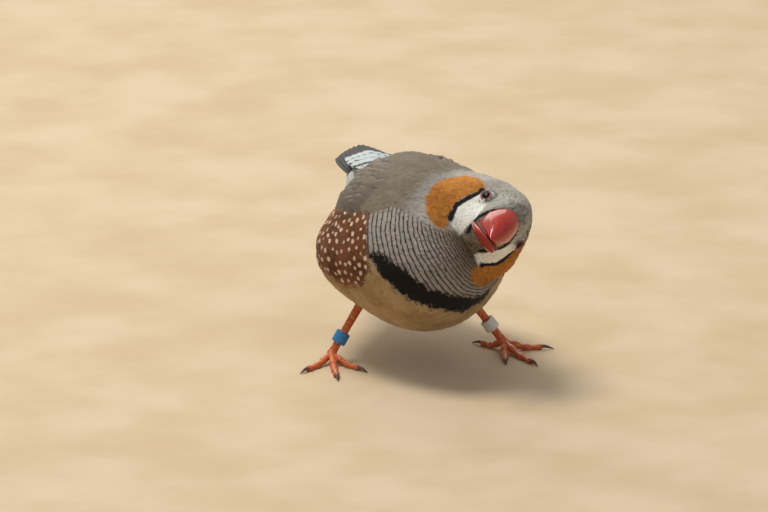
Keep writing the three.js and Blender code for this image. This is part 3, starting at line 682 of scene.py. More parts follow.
# Skin: trunk, neck and head made one surface, with mounds for the lids
skinSizes = {"voxel": 0.34, "soften": 0.5, "rounds": 7, "fill": 150, "spare": (8.0, 10.0),
             "face": (0, -6, -2.2), "fleck": (14, 5), "fleckAt": (0, -7, 0)}


def makeSkin():
    raw = Shape(bodyOrigin)
    raw.add(*tube(formRings(trunkForm)))
    raw.addHead(*tube(formRings(headForm)))
    radii = np.array(neckForm["radii"]) - neckForm["depth"]
    raw.add(*tube(limb(neckForm["path"], radii, *neckForm["rings"])))
    for way in sides.values():
        raw.addHead(*tube(sphereRings(*eyeFrame(way), eye["lids"], 24, 36, eye["plane"])))
    whole = raw.mesh("whole")
    remesh = whole.modifiers.new("remesh", "REMESH")
    remesh.mode, remesh.voxel_size, remesh.use_smooth_shade = "VOXEL", skinSizes["voxel"] * mm, True
    soften = whole.modifiers.new("soften", "SMOOTH")
    soften.factor, soften.iterations = skinSizes["soften"], skinSizes["rounds"]
    made = settled(whole, "skin")
    bpy.data.objects.remove(whole)
    return made


def unwrap(thing):
    thing.data.uv_layers.new(name="OFBake")
    bpy.ops.object.select_all(action="DESELECT")
    bpy.context.view_layer.objects.active = thing
    thing.select_set(True)
    bpy.ops.object.mode_set(mode="EDIT")
    bpy.ops.mesh.select_all(action="SELECT")
    bpy.ops.uv.smart_project(angle_limit=math.radians(66), island_margin=0.004)
    bpy.ops.object.mode_set(mode="OBJECT")
    thing.select_set(False)


def fillHollows(thing):  # raises the creases between head, neck and trunk, and leaves the rounded parts alone
    data = thing.data
    points, normals = read(data.vertices, "co"), read(data.vertex_normals, "vector")
    head = bodyToHead(points / mm - bodyOrigin)
    share = smooth(*skinSizes["spare"], distance(head, skinSizes["face"]))
    a, b = read(data.edges, "vertices", 2, int).T

    def neighbours(values):  # the sum over each point's neighbours
        return np.bincount(a, values[b], len(values)) + np.bincount(b, values[a], len(values))

    around = neighbours(np.ones(len(points)))
    for step in range(skinSizes["fill"]):
        total = np.column_stack([neighbours(values) for values in points.T])
        rise = np.sum((total / around[:, None] - points) * normals, axis=1)
        points = points + normals * (np.maximum(0, rise) * share)[:, None]
    data.vertices.foreach_set("co", points.ravel())
    data.update()


skin = makeSkin()
fillHollows(skin)
unwrap(skin)
skinPoints = read(skin.data.vertices, "co") / mm - bodyOrigin
skinNormals = read(skin.data.vertex_normals, "vector")
skinHead = bodyToHead(skinPoints)
fields = markings(skinPoints)
for name, keys in packs.items():
    store(skin, name, np.column_stack([fields[key] for key in keys]))
store(skin, "fleck", smooth(*skinSizes["fleck"], distance(skinHead, skinSizes["fleckAt"])))
skin.data.materials.append(skinFinish)
carried(skin, "plumage_breast", "torso", "neck", "head")
print("skin made:", len(skin.data.polygons), "faces")

# Coat: tufts over the skin, smallest on the face. Sizes are in mm, for each region in turn
coat = {
    "regions": ("face", "nape", "breast", "back", "flank", "belly"),
    "spacing": (0.32, 0.42, 0.55, 0.62, 0.72, 0.75),
    "long": (0.85, 1.5, 2.1, 2.5, 2.8, 3.2),
    "wide": (0.5, 0.8, 1.05, 1.2, 1.4, 1.5),
    "lift": (0.34, 0.45, 0.5, 0.5, 0.58, 0.66),
    "sunk": -0.04, "least": 0.75, "nearBill": (6.4, 10.5), "bald": (1.55, 1.8), "seed": 11,
    "faceAt": (0, -2, -2), "faceEdge": (9.5, 6.5), "napeEdge": (15, 11), "frontEdge": (-2, -9),
    "backEdge": (31, 35), "underEdge": (19, 14), "slope": 0.1,
}
tuft = {"barbs": 9, "steps": 3, "overlap": 1.5, "fray": 0.18, "crown": 0.12, "step": 0.06, "bend": 1.8,
        "root": 0.35, "short": 0.34, "patch": 0.003, "kinds": 4, "seed": 40}


def makeTuft(name, seed):  # barbs that fan from a shaft, one unit long and wide
    random = np.random.default_rng(seed)
    shape = Shape()
    half = tuft["overlap"] / tuft["barbs"]
    for n in range(tuft["barbs"]):
        across = 2 * (n + 0.5) / tuft["barbs"] - 1
        reach = 1 - tuft["short"] * abs(across) ** 2.2 - tuft["fray"] * random.random()
        crown = tuft["crown"] * (1 - across ** 2) + tuft["step"] * (n % 2)
        points, heights, alongs = [], [], []
        for i in range(tuft["steps"]):
            share = i / tuft["steps"]
            spread = math.sin(math.pi / 2 * min(1, share * 1.25))
            centre = across * blend(tuft["root"], 1, spread)
            points += [((centre + edge * half) / 2, share * reach, 0) for edge in (-1, 1)]
            heights += [1 - (1 - share) ** tuft["bend"] + crown] * 2
            alongs += [share] * 2
        points.append((across * 0.51, reach, 0))
        last = len(points) - 1
        faces = [(k, k + 1, k + 3, k + 2) for k in range(0, last - 2, 2)] + [(last - 2, last - 1, last)]
        shape.add(points, faces, height=heights + [1 + crown], along=alongs + [1.0])
    made = shape.mesh(name, None, 1)
    store(made, "patch", (np.vstack(shape.points) + [0.5, 0, 0]) * tuft["patch"])
    return made


def makeCoatTree():
    group = bpy.data.node_groups.new("coat", "GeometryNodeTree")
    tree = Tree(group)
    inputs = {"Skin": "Geometry", "Tufts": "Collection", "Region": "Float", "Spacing": "Float",
              "Sunk": "Float", "Seed": "Int", "Finish": "Material"}
    ports = group.interface
    sockets = {name: ports.new_socket(name, in_out="INPUT", socket_type="NodeSocket" + kind).identifier
               for name, kind in inputs.items()}
    ports.new_socket("Coat", in_out="OUTPUT", socket_type="NodeSocketGeometry")
    entry = group.nodes.new("NodeGroupInput")
    given = {name: Wire(tree, entry.outputs[name]) for name in inputs}

    def make(kind, settings=None, **values):
        values = {key.replace("_", " "): value for key, value in values.items()}
        return tree.node("GeometryNode" + kind, settings, values)

    def named(name, kind="FLOAT"):
        return make("InputNamedAttribute", {"data_type": kind}, Name=name)

    def chance(low, high, seed):
        values = {"Min": low, "Max": high, "Seed": seed}
        return tree.node("FunctionNodeRandomValue", {"data_type": "FLOAT"}, values)

    def keep(geometry, name, value, kind="FLOAT_VECTOR", domain="POINT"):
        settings = {"data_type": kind, "domain": domain}
        return make("StoreNamedAttribute", settings, Geometry=geometry, Name=name, Value=value)

    def onSkin(value, kind="FLOAT_VECTOR", **place):
        return make("SampleNearestSurface", {"data_type": kind}, Mesh=given["Skin"], Value=value, **place)

    def vectors(*names):
        return [named(name, "FLOAT_VECTOR") for name in names]

    here = make("InputPosition")
    lie, root, patch = vectors("lie", "rootPlace", "patch")
    chosen = tree.node("FunctionNodeCompare", {"data_type": "FLOAT", "operation": "EQUAL"},
                       {"A": named("region"), "B": given["Region"], "Epsilon": 0.1})
    points = make("DistributePointsOnFaces", {"distribute_method": "POISSON"}, Mesh=given["Skin"],
                  Selection=chosen, Distance_Min=given["Spacing"], Density_Max=2e8,
                  Density_Factor=named("thick"), Seed=given["Seed"])
    normal = Wire(tree, points.socket.node.outputs["Normal"])
    points = keep(points, "chance", chance(0.0, 1.0, 3), "FLOAT")
    points = keep(points, "rootPlace", *vectors("OFBake"))
    points = keep(points, "fleck", onSkin(named("fleck"), "FLOAT"), "FLOAT")
    seen = tree.vector("ADD", here, tree.vector("SCALE", lie, scale=named("long") * 0.6))
    for name in ("marksB", "marksC"):  # one value for each tuft
        points = keep(points, name, onSkin(*vectors(name), Sample_Position=seen))
    aside = tree.vector("SCALE", tree.vector("CROSS_PRODUCT", normal, lie), scale=chance(-0.25, 0.25, 5))
    facing = tree.node("FunctionNodeAxesToRotation", {"primary_axis": "Z", "secondary_axis": "Y"},
                       {"Primary Axis": normal, "Secondary Axis": tree.vector("ADD", lie, aside)})
    size = tree.node("ShaderNodeCombineXYZ", {}, {0: named("wide") * chance(0.85, 1.2, 7),
                                                 1: named("long") * chance(0.8, 1.15, 9), 2: mm})
    kinds = make("CollectionInfo", Collection=given["Tufts"], Separate_Children=True, Reset_Children=True)
    placed = make("InstanceOnPoints", Points=points, Instance=kinds, Pick_Instance=True, Rotation=facing,
                  Scale=size)
    real = make("RealizeInstances", Geometry=placed)
    for name in ("marksA", "marksD"):  # finer marks, with a value for each point of a tuft
        real = keep(real, name, onSkin(*vectors(name)))
    rise = named("height") * onSkin(named("lift"), "FLOAT") * (0.8 + 0.4 * named("chance")) + given["Sunk"]
    up = tree.vector("SCALE", onSkin(make("InputNormal")), scale=rise)
    laid = make("SetPosition", Geometry=real, Position=tree.vector("ADD", onSkin(here), up))
    laid = keep(laid, "OFBake", tree.vector("ADD", root, patch), "FLOAT2", "CORNER")
    laid = make("SetShadeSmooth", Geometry=laid)
    laid = make("SetMaterial", Geometry=laid, Material=given["Finish"])
    leave = group.nodes.new("NodeGroupOutput")
    group.links.new(laid.socket, leave.inputs["Coat"])
    return group, sockets


def coatSkin():  # a copy of the skin that carries the coat's sizes and its regions
    base = show("coat_base", skin.data.copy())
    x, y, z = skinPoints.T
    away = distance(skinHead, coat["faceAt"])
    face, nape = (smooth(*coat[key], away) for key in ("faceEdge", "napeEdge"))
    front = smooth(*coat["frontEdge"], y)
    back = smooth(*coat["backEdge"], z + coat["slope"] * y)
    under = smooth(*coat["underEdge"], z - coat["slope"] * np.maximum(0, y))
    rest = 1 - np.maximum(face, nape)
    shares = [face, nape * (1 - face), rest * front * (1 - under) * (1 - back), rest * back * (1 - under),
              rest * (1 - front) * (1 - under) * (1 - back), rest * under]
    nearBill = blend(coat["least"], 1.0, smooth(*coat["nearBill"], distance(skinHead, billBase)))
    for key in ("long", "wide", "lift"):
        store(base, key, sum(share * size for share, size in zip(shares, coat[key])) * nearBill * mm)
    bald = np.ones(len(x))
    for way in sides.values():
        centre, axis = eyeFrame(way)
        off = skinHead - centre
        high = off @ axis
        ring = distance(off, high[:, None] * axis)
        bald = np.minimum(bald, np.where(high > 0, smooth(*coat["bald"], ring), 1))
    store(base, "thick", bald)
    store(base, "lie", lieOf(skinPoints, skinNormals))
    first = read(base.data.polygons, "loop_start", 1, int).ravel()
    corners = read(base.data.loops, "vertex_index", 1, int).ravel()
    store(base, "region", np.argmax(shares, axis=0)[corners[first]], "FACE")
    return base


def makeCoat():
    collection = bpy.data.collections.new("tufts")
    bpy.context.scene.collection.children.link(collection)
    for n in range(tuft["kinds"]):
        collection.objects.link(makeTuft("tuft_%d" % n, tuft["seed"] + n))
    base = coatSkin()
    group, sockets = makeCoatTree()
    for n, name in enumerate(coat["regions"]):
        grower = base.modifiers.new("coat", "NODES")
        grower.node_group = group
        values = {"Tufts": collection, "Region": float(n), "Spacing": coat["spacing"][n] * mm,
                  "Sunk": coat["sunk"] * mm, "Seed": coat["seed"] + n, "Finish": coatFinish}
        for key, value in values.items():
            grower[sockets[key]] = value
        made = settled(base, "coat_" + name)
        base.modifiers.remove(grower)
        carried(made, "plumage_head" if name in ("face", "nape") else "plumage_breast")
        print("coat on the", name + ":", len(made.data.polygons), "faces")
    for made in (base, *collection.objects):
        bpy.data.objects.remove(made)
    bpy.data.collections.remove(collection)


makeCoat()

# Bill: two halves of sections from the face to the tip
bill = {
    "base": -2.6, "tip": (-14.4, -5.25), "gape": -5.2, "gap": 0.44, "open": 0.4, "tipHalf": 0.1,
    "least": 0.12, "round": 0.85, "floorHeight": 0.4, "sag": 0.08, "rings": 44, "around": 72, "tongue": 0.9,
    "upper": {"way": 1, "crest": (-6.6, 2.6), "bow": 1.3, "short": 0, "half": 4.2, "bend": 2.4,
              "power": 0.95, "floor": 0.78},
    "lower": {"way": -1, "crest": (-4.4, -6.9), "bow": -0.9, "short": 0.3, "half": 4.05, "bend": 2.2,
              "power": 0.6, "floor": 0.95},
    # painted shade: the mouth's inside tint is its own red darkened, as the inside of the mouth lies in shade
    "red": "ab281d", "deep": "78160e", "edge": "862015", "inside": "3e0d08",
}


def billHalf(half, t):
    return half["half"] * (1 - t ** half["bend"]) ** half["power"]


def billRings(half):
    tipY, tipZ = bill["tip"]
    crestY, crestZ = half["crest"]
    angles = circle(bill["around"])
    c, s = np.cos(angles), np.sin(angles)
    share = blend(half["floor"], 1, np.clip(s / bill["floorHeight"], 0, 1))
    rings = []
    for i in range(bill["rings"] + 1):
        t = math.sin(math.pi / 2 * i / bill["rings"])
        y = blend(bill["base"], tipY + half["short"], t)
        gap = bill["gap"] + bill["open"] * math.sin(math.pi * t)
        edge = blend(bill["gape"], tipZ, t) + half["way"] * gap / 2
        outward = min(1, max(0, (y - crestY) / (tipY - crestY)))
        crest = blend(crestZ, tipZ, outward) + half["bow"] * math.sin(math.pi * outward)
        height = max(bill["least"], abs(crest - edge))
        x = (billHalf(half, t) + bill["tipHalf"]) * np.sign(c) * np.abs(c) ** bill["round"] * share
        z = edge + half["way"] * np.where(s > 0, height, bill["sag"]) * s
        rings.append(np.column_stack([x, np.full_like(x, y), z]))
    return [rings[0].mean(axis=0, keepdims=True), *rings, rings[-1].mean(axis=0, keepdims=True)]


def makeBillFinish():
    tree = newMaterial("bill_horn")
    streaks = tree.noise(900.0, 4.0, (2.0, 0.6, 2.0))
    colour = tree.mix(streaks.ramp(0.35, 0.7) * 0.45, bill["red"], bill["deep"])
    colour = tree.mix(1 - tree.mark("along").ramp(0.1, 0.3), colour, bill["edge"])
    return tree.finish(colour, 0.5, tree.bump(streaks, 0.1), Coat_Weight=1.0, Coat_Roughness=0.15,
                       Specular_IOR_Level=0.1, Subsurface_Weight=0.06, Subsurface_Scale=0.0008)


def makeMouth():  # the floor of the mouth, seen between the halves, its red darkened as painted shade inside the mouth
    material = grained("mouth_skin", (1200.0, 3.0, 0.3, 0.7), (bill["inside"], bill["deep"]), 0.6, 0.2)
    tipY, tipZ = bill["tip"]

    def at(a, b, face):
        y = blend(bill["base"] - 0.4, tipY + 1.2, a)
        t = (y - bill["base"]) / (tipY - bill["base"])
        thick = (bill["gap"] + bill["open"] * np.sin(math.pi * t)) / 2 - 0.06
        wide = billHalf(bill["lower"], t) * bill["tongue"]
        return np.stack([b * wide, y, blend(bill["gape"], tipZ, t) + (2 * face - 1) * thick], -1)

    shape = Shape(bodyOrigin)
    shape.addHead(*leaf(at, np.linspace(0, 1, 24), np.linspace(-1, 1, 13))[:2])
    shape.make("mouth_floor", material, "bill")


makeMouth()
billFinish = makeBillFinish()
for name in ("upper", "lower"):
    shape = Shape(bodyOrigin)
    points, faces = tube(billRings(bill[name]))
    along = (points[:, 1] - bill["base"]) / (bill["tip"][0] - bill["base"])
    shape.addHead(points, turned(faces) if name == "upper" else faces, along=along)
    shape.make("bill_" + name + "_horn", billFinish, "bill", "bill_" + name)
print("bill made")

# Eyes: a ball with its pupil and iris marked by the angle off its axis, in a bare ring of skin
eyeLook = {
    "pupil": (23.5, 26.0), "iris": (34.0, 37.0), "pupilTint": (0.002, 0.002, 0.003),
    "irisTint": ("5a1d14", "2a0c08"), "rimTint": "120706", "bulge": 0.05, "bulgeWide": 24,
    "ringTint": ("8c5560", "5a2c33"), "ringGrain": (2800.0, 4.0, 0.35, 0.7), "reach": 1.14, "thick": 0.24,
    "flat": 0.8, "ripple": 0.02, "ripples": 18, "stretch": (1.12, 0.92), "raised": 0.02,
}


def makeEyeFinish():
    tree = newMaterial("wet_eye")
    off = tree.mark("off")
    iris = tree.mix(tree.noise(2600.0, 3.0).ramp(0.3, 0.7), *eyeLook["irisTint"])
    colour = tree.mix(off.ramp(*eyeLook["pupil"]), eyeLook["pupilTint"], iris)
    colour = tree.mix(off.ramp(*eyeLook["iris"]), colour, eyeLook["rimTint"])
    return tree.finish(colour, 0.3, None, Coat_Weight=0.45, Coat_Roughness=0.03, Specular_IOR_Level=0.0)


def makeEye(name, way):
    centre, axis = eyeFrame(way)
    points, faces = tube(sphereRings(centre, axis, eye["radius"], 40, 64))
    off = np.degrees(np.arccos(np.clip(unit(points - centre) @ axis, -1, 1)))
    bulge = 1 + eyeLook["bulge"] * np.exp(-(off / eyeLook["bulgeWide"]) ** 2)
    ball, ring = Shape(bodyOrigin), Shape(bodyOrigin)
    ball.addHead(centre + (points - centre) * bulge[:, None], faces, off=off)
    ball.make("eyeball_" + name, eyeFinish, "eye", "eye_" + name)
    across = unit(np.cross(axis, [0, 0, 1.0]))
    count, around = 72, 16
    turns, inner = circle(count)[:, None], circle(around)[None]
    wide = eyeLook["reach"] + eyeLook["thick"] * np.cos(inner)
    wide = wide + eyeLook["ripple"] * np.sin(turns * eyeLook["ripples"])
    high = eye["plane"] + eyeLook["raised"] + eyeLook["thick"] * eyeLook["flat"] * np.sin(inner)
    aside, above = eyeLook["stretch"]
    grid = (centre + axis * high[..., None] + across * (wide * np.cos(turns))[..., None] * aside
            + np.cross(across, axis) * (wide * np.sin(turns))[..., None] * above)
    ring.addHead(grid, hoops(count, around, True))
    ring.make("eye_ring_" + name, ringFinish, "plumage_head")


eyeFinish = makeEyeFinish()
ringFinish = grained("eye_ring_skin", eyeLook["ringGrain"], eyeLook["ringTint"], 0.55, 0.4,
                     Subsurface_Weight=0.1, Subsurface_Scale=0.0005)
for name, way in sides.items():
    makeEye(name, way)
print("eyes made")

# Feathers: thin leaves with a shaft, a curved vane and a frayed edge
vane = {"thick": 0.22, "thin": 0.6, "tilt": 0.5, "camber": 0.3, "ridge": 0.13, "ridgeWide": 0.06,
        "shaft": -0.25, "root": 0.62, "swell": 0.9, "splits": 2, "splitWide": 0.02}
vaneRows = 1 - (1 - np.linspace(0, 1, 20)) ** 1.6  # closest together at the tip
vaneColumns = np.array([-1, -0.8, -0.55, -0.35, -0.29, -0.25, -0.21, -0.15, 0.1, 0.4, 0.7, 1])
vaneLook = {
    "wing": {"body": "776c5b", "dark": "554b3e", "edge": "8d8271", "shaft": "463c31", "rim": 0.45},
    "tail": {"body": "2a2727", "dark": "151313", "edge": "3b3734", "shaft": "0f0d0d", "rim": 0.4},
    "under": {"body": "d2c6b0", "dark": "ac9c80", "edge": "e2d9c8", "shaft": "a39473", "rim": 0.4},
    "barWhite": "c3d0d2",
}


def featherHalf(width, cut, a, b):  # half the width at each share of the length, with splits in the edge
    random = np.random.default_rng(cut)
    whole = np.minimum(1, vane["root"] + vane["swell"] * a) * np.sqrt(np.maximum(0.02, 1 - a ** 5))
    split = np.zeros_like(a)
    for n in range(vane["splits"]):
        place, deep, edge = random.uniform(0.45, 0.95), random.uniform(0.1, 0.3), random.choice([-1, 1])
        split += deep * np.exp(-((a - place) / vane["splitWide"]) ** 2) * (b * edge > 0.5)
    return width / 2 * whole * (1 - split)


def vaneRise(a, b, face):  # the vane's own shape across its width
    ridge = vane["ridge"] * np.exp(-((b - vane["shaft"]) / vane["ridgeWide"]) ** 2) * (1 - 0.7 * a)
    bow = vane["camber"] * (1 - b ** 2) + vane["tilt"] * b / 2
    return bow + (ridge if face else -vane["thick"] * (1 - vane["thin"] * a))


def addFeather(shape, at, flip, bar=None, **marks):
    points, faces, along, across = leaf(at, vaneRows, vaneColumns)
    if bar:
        marks["bar"] = (bar[0] + along * bar[1]) / coverts["barLong"]
    shape.add(points, turned(faces) if flip else faces, along=along, across=across, **marks)


def makeVaneFinish(name, barred=False):
    look = vaneLook[name]
    tree = newMaterial(name + "_vanes" + ("_barred" if barred else ""))
    along, across, chance = tree.mark("along"), tree.mark("across"), tree.mark("chance")
    broad = tree.noise(260.0, 3.0)
    side = (across - vane["shaft"]).size()
    barbs = ((along * 58 + side * -9 + chance * 5 + broad * 2) * (2 * math.pi)).sine() * 0.5 + 0.5
    # darker with each feather's chance: its own random tone, and on the wings also the painted shade of their
    # lower feathers
    colour = tree.mix((broad * 0.6 + chance * 0.5).ramp(0.2, 0.85), look["body"], look["dark"])
    colour = tree.mix(barbs * 0.22, colour, look["dark"])
    rim = (across.size() + along ** 6 * 0.6 + (broad - 0.5) * 0.3).ramp(0.82, 1.15)
    colour = tree.mix(rim * look["rim"], colour, look["edge"])
    colour = tree.mix(1 - side.ramp(0.02, 0.06), colour, look["shaft"])
    if barred:
        wave = ((tree.mark("bar") * (2 * math.pi)).sine() + (broad - 0.5) * 0.8).ramp(-0.8, -0.45)
        colour = tree.mix(wave * (0.92 - barbs * 0.12), colour, vaneLook["barWhite"])
    normal = tree.bump(barbs, 0.35, 0.00012)
    return tree.finish(colour, 0.62, normal, Sheen_Weight=0.08, Specular_IOR_Level=0.35)


# Wings: rows of feathers laid on the trunk's side
wingRows = [  # feathers, the first and last root and tip as (y, angle), width, lift at both ends, darkness: the row's own darker tone, or None for painted shade on the row's lower feathers
    (7, [(8, 28), (12, 41)], [(31, 38), (43, 55)], 3.6, (-1.6, 0.6), 1.2),
    (6, [(2, 29), (8, 49)], [(24, 30), (30, 47)], 4.6, (-1.2, 0.6), 0.4),
    (3, [(2, 46), (4, 58)], [(25, 48), (28, 62)], 6.0, (-1.1, 0.8), None),
    (8, [(-1, 28), (0, 58)], [(11, 27), (14, 58)], 4.6, (-0.9, 0.6), None),
    (8, [(-4, 29), (-4, 58)], [(6.5, 28), (8, 58)], 4.4, (-0.9, 0.6), None),
    (8, [(-7, 31), (-7, 58)], [(2.5, 29), (3.5, 58)], 4.2, (-1.0, 0.6), None),
    (8, [(-9, 32), (-9, 57)], [(-1.5, 30), (-0.6, 57)], 4.0, (-1.2, 0.5), None),
    (6, [(-6, 63), (6, 72)], [(3, 53), (17, 59)], 5.2, (-1.5, 0.3), 0),
    (6, [(-10, 58), (-3, 68)], [(-4, 50), (7, 61)], 5.0, (-1.6, 0.2), 0),
]
# the strength of the painted shade that darkens the lower feathers of a row
wing = {"seed": 5, "stray": 0.5, "lowerShade": 0.7}


def makeWing(name, way):
    random = np.random.default_rng(wing["seed"])
    shape = Shape(bodyOrigin)
    stray = wing["stray"]
    for count, roots, tips, width, lifts, dark in wingRows:
        for n in range(count):
            t = n / (count - 1)
            root, tip = (blend(*np.array(ends, float), t) for ends in (roots, tips))
            tip = tip + [random.uniform(-stray, stray), random.uniform(-stray, stray)]
            cut = int(random.integers(1 << 30))

            def at(a, b, face):
                y = blend(root[0], tip[0], a)
                centre = np.stack([0 * y, y, readRow(trunkForm, "z", y)], -1)
                radius = np.linalg.norm(formPoint(trunkForm, y, 45.0, 0.0, True) - centre, axis=-1)
                angle = blend(root[1], tip[1], a) + b * np.degrees(featherHalf(width, cut, a, b) / radius)
                lift = blend(*lifts, a) + vaneRise(a, b, face)
                return formPoint(trunkForm, y, angle, lift, True) * [way, 1, 1]

            # painted shade: in rows without a darkness of their own, the lower feathers are darker, as that
            # side of the wing lies in shade
            shade = wing["lowerShade"] * (1 - t) ** 2 if dark is None else dark
            addFeather(shape, at, way > 0, chance=random.random() + shade)
    shape.make("wing_feathers_" + name, wingFinish, "plumage_wing", "wing_" + name)


wingFinish = makeVaneFinish("wing")
for name, way in sides.items():
    makeWing(name, way)
print("wings made")

# Tail: twelve long feathers, the middle pair on top, with barred coverts above and pale ones below
tailPlace = np.array([0, 33, 29.9])
tailTurn = turn(-7, "Z") @ turn(-4.4, "X")
tail = {"pairs": 6, "length": 33.5, "outerShort": 5, "width": 4.4, "spread": 5.4, "step": 0.27,
        "rootStep": 0.5, "bow": -0.22, "seed": 21, "flat": 0.6}
coverts = {  # rows of feathers, length, width, spread, lift, root and pitch
    "upper": [(7, 20, 4.2, 6, 0.9, 1, 1.2), (7, 15, 4.2, 8, 1.35, 0, 1.5), (6, 9, 4.2, 10, 1.8, 0, 1.9)],
    "under": [(5, 17, 4.6, 6, -3.1, 1, 0.2), (5, 12, 4.6, 8, -3.6, 0, -0.6)],
    "rootWide": 5.0, "bow": -0.3, "short": 0.3, "drop": 1.1, "barLong": 5.4,
}


def addTailFeather(shape, random, length, width, swing, root, lift, pitch, bow, bar=None):
    cut = int(random.integers(1 << 30))
    c, s = math.cos(math.radians(swing)), math.sin(math.radians(swing))

    def at(a, b, face):
        across = b * featherHalf(width, cut, a, b)
        along = root[1] + a * length
        own = vaneRise(a, b, face) - vane["tilt"] * b / 2
        z = lift + math.sin(math.radians(pitch)) * along + bow * b / 2 + own * tail["flat"]
        points = np.stack([root[0] + along * s + across * c, along * c - across * s, z], -1)
        return points @ tailTurn.T + tailPlace

    addFeather(shape, at, True, bar, chance=random.random())


def makeTail():
    random = np.random.default_rng(tail["seed"])
    shape = Shape(bodyOrigin)
    for n in range(2 * tail["pairs"]):
        off = n - tail["pairs"] + 0.5
        out = abs(off) / (tail["pairs"] - 0.5)
        way = math.copysign(1, off)
        length = tail["length"] - tail["outerShort"] * out ** 2
        addTailFeather(shape, random, length, tail["width"], tail["spread"] * way * out,
                       (tail["rootStep"] * off, 0), -tail["step"] * abs(off), 0, tail["bow"] * way)
    shape.make("tail_feathers", makeVaneFinish("tail"), "plumage_tail", "tail")
    for name, look in (("upper", ("tail", True)), ("under", ("under",))):
        shape = Shape(bodyOrigin)
        for count, length, width, spread, lift, root, pitch in coverts[name]:
            for n in range(count):
                t = n / (count - 1) - 0.5
                fall = coverts["drop"] * abs(t) * math.copysign(1, lift)
                addTailFeather(shape, random, length * (1 - coverts["short"] * abs(t)), width, 2 * spread * t,
                               (coverts["rootWide"] * t, root), lift - fall, pitch, coverts["bow"] * t,
                               (root, length))
        shape.make("tail_coverts_" + name, makeVaneFinish(*look), "plumage_tail")


makeTail()
print("tail made")

# Legs and feet, in the frame of the feet
legs = {  # a toe is its heading and its length, and the hind one is last
    "left": {"heel": (9.6, -3.0, 13.2), "foot": (17.8, -4.7, 1.9), "band": 0.35, "bandTint": "band_white",
             "toes": ((-12, 8.2), (16, 11.2), (80, 7.6), (218, 5.4))},
    "right": {"heel": (-12.8, -4.2, 13.4), "foot": (-19.9, -4.6, 1.9), "band": 0.3, "bandTint": "band_blue",
              "toes": ((30, 8.0), (-8, 11.2), (-50, 8.0), (166, 6.0))},
}
shank = {"along": [0, 0.12, 0.5, 0.88, 1], "radii": [1.15, 0.94, 0.85, 0.85, 1.05], "scutes": 11,
         "step": 0.06, "shade": (0.0, 0.35)}
toe = {"base": 0.78, "end": 0.58, "pads": 3, "pad": 0.12, "scutes": 12, "step": 0.03, "shade": (0.0, 0.4),
       "arch": ((0.3, 1.25), (0.62, 0.55), (1, 0.55)), "ball": (1.2, 1.25), "sole": 0.02}
claw = {"path": ((-0.6, 0.55), (1.2, 0.75), (3.0, 0.18)), "radii": [0.5, 0.36, 0.1], "length": 3.0}
legLook = {"skin": ("d96a2e", "e58a52"), "deep": "9c3f1a", "claw": ("6a4a3c", "3a2620")}


def makeLegFinish():
    tree = newMaterial("leg_scales")
    scales = tree.node("ShaderNodeTexVoronoi", {"feature": "DISTANCE_TO_EDGE"},
                       {"Vector": tree.place(), "Scale": 1900.0})
    colour = tree.mix(tree.noise(700.0, 3.0).ramp(0.3, 0.7), *legLook["skin"])
    # painted shade: darker at the start of each scute, in the step under the raised end of the one before
    colour = tree.mix((1 - tree.mark("ridge")) * 0.6, colour, legLook["deep"])
    colour = tree.mix(1 - scales.ramp(0.0, 0.12), colour, legLook["deep"])
    return tree.finish(colour, 0.45, tree.bump(scales.ramp(0.0, 0.2), 0.4), Subsurface_Weight=0.06,
                       Subsurface_Scale=0.0008)


def makeClawFinish():
    tree = newMaterial("claw_horn")
    streaks = tree.noise(1500.0, 3.0)
    tone = (tree.mark("along") + (streaks - 0.5) * 0.4).ramp(0.2, 1.0)
    return tree.finish(tree.mix(tone, *legLook["claw"]), 0.35)


def saw(x):  # 0 at each scute's start, 1 at its raised end
    return x - np.floor(x)


def shankSize(t):
    size = np.interp(t, shank["along"], shank["radii"])
    return size * (1 - shank["step"] / 2 + shank["step"] * saw(t * shank["scutes"]))


def toeSize(t):
    pads = toe["pad"] * np.cos(2 * math.pi * toe["pads"] * t)
    return blend(toe["base"], toe["end"], t) + pads + toe["step"] * saw(t * toe["scutes"])


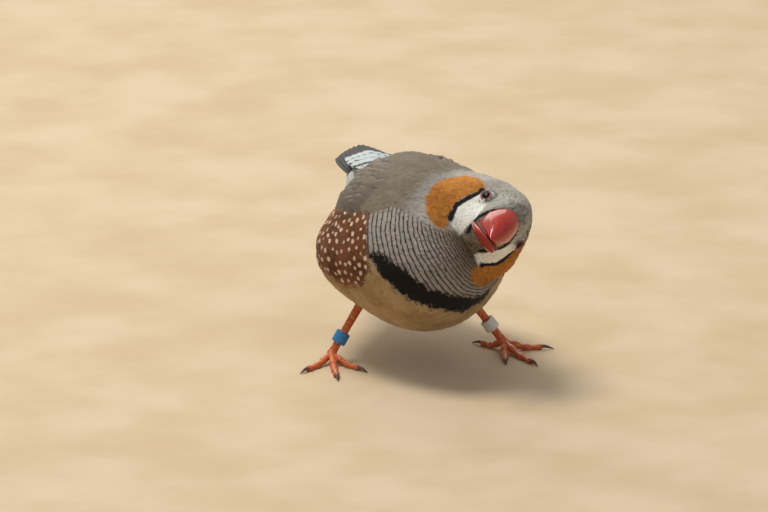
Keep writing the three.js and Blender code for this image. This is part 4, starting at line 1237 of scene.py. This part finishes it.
def makeLeg(side):
    leg = legs[side]
    heel, foot = np.array(leg["heel"]), np.array(leg["foot"])
    shape = Shape(feetOrigin)
    points, faces = tube(limb([heel, blend(heel, foot, 0.5), foot], shankSize, 90, 32))
    share = np.clip((points - heel) @ (foot - heel) / ((foot - heel) @ (foot - heel)), 0, 1)
    shape.add(points, faces, ridge=smooth(*shank["shade"], saw(share * shank["scutes"])))
    shape.make("tarsus_scales_" + side, legFinish, "leg", "tarsus_" + side)

    toes, claws = Shape(feetOrigin), Shape(feetOrigin)
    flat = foot * [1, 1, 0]
    high, radius = toe["ball"]
    points, faces = tube(sphereRings(flat + [0, 0, high], np.array([0, 0, 1.0001]), radius, 20, 32))
    toes.add(points, faces, ridge=1.0)
    for heading, length in leg["toes"]:
        way = np.array([math.sin(math.radians(heading)), -math.cos(math.radians(heading)), 0])
        path = [flat + way * d * length + [0, 0, z] for d, z in ((0, foot[2]), *toe["arch"])]
        points, faces = tube(limb(path, toeSize, 60, 28))
        share = np.clip((points - path[0]) @ way / length, 0, 1)
        points[:, 2] = np.maximum(points[:, 2], toe["sole"])
        toes.add(points, faces, ridge=smooth(*toe["shade"], saw(share * toe["scutes"])))
        nail = [path[3] * [1, 1, 0] + way * d + [0, 0, z] for d, z in claw["path"]]
        points, faces = tube(limb(nail, claw["radii"], 24, 20))
        claws.add(points, faces, along=np.clip((points - path[3]) @ way / claw["length"], 0, 1))
    toes.make("toes_" + side, legFinish, "leg", "foot_" + side)
    claws.make("claws_" + side, clawFinish, "leg")


# Leg bands: split rings round each leg
band = {"inner": 1.22, "outer": 1.56, "height": 2.6, "soft": 0.16, "split": 4.0, "start": 200, "turns": 97,
        "band_blue": "2e7cb8", "band_white": "d6d4d0", "worn": 0.6}


def makeBandFinish(name):
    tree = newMaterial(name)
    worn = tree.noise(900.0, 4.0)
    tint = rgb(band[name])
    colour = tree.mix(worn.ramp(0.5, 0.8) * 0.35, tint, tuple(band["worn"] * v for v in tint))
    return tree.finish(colour, 0.32, tree.bump(worn, 0.08), Coat_Weight=0.2)


def makeBand(side):
    leg = legs[side]
    heel, foot = np.array(leg["heel"]), np.array(leg["foot"])
    axis = unit(heel - foot)
    across = unit(np.cross(axis, [0, 1.0, 0]))
    front = np.cross(across, axis)
    inner, outer, half, soft = band["inner"], band["outer"], band["height"] / 2, band["soft"]
    corner = [(math.sin(t), math.cos(t)) for t in np.linspace(0, math.pi / 2, 5)]
    profile = [(inner, -half + soft / 2), (inner + soft / 2, -half)]
    profile += [(outer - soft + soft * s, -half + soft - soft * c) for s, c in corner]
    profile += [(outer - soft + soft * c, half - soft + soft * s) for s, c in corner]
    profile += [(inner + soft / 2, half), (inner, half - soft / 2)]
    start = math.radians(band["start"] + band["split"] / 2)
    turns = np.linspace(start, start + math.radians(360 - band["split"]), band["turns"])
    centre = blend(foot, heel, leg["band"])
    points = [centre + axis * h + r * (math.cos(t) * across + math.sin(t) * front)
              for t in turns for r, h in profile]
    n = len(profile)
    ends = [tuple(range(n))[::-1], tuple(range((len(turns) - 1) * n, len(turns) * n))]
    shape = Shape(feetOrigin)
    shape.add(points, hoops(len(turns), n, False) + ends)
    shape.make("band_ring_" + side, makeBandFinish(leg["bandTint"]), leg["bandTint"], "leg_band_" + side)


legFinish, clawFinish = makeLegFinish(), makeClawFinish()
for side in legs:
    makeLeg(side)
    makeBand(side)
print("legs and bands made")
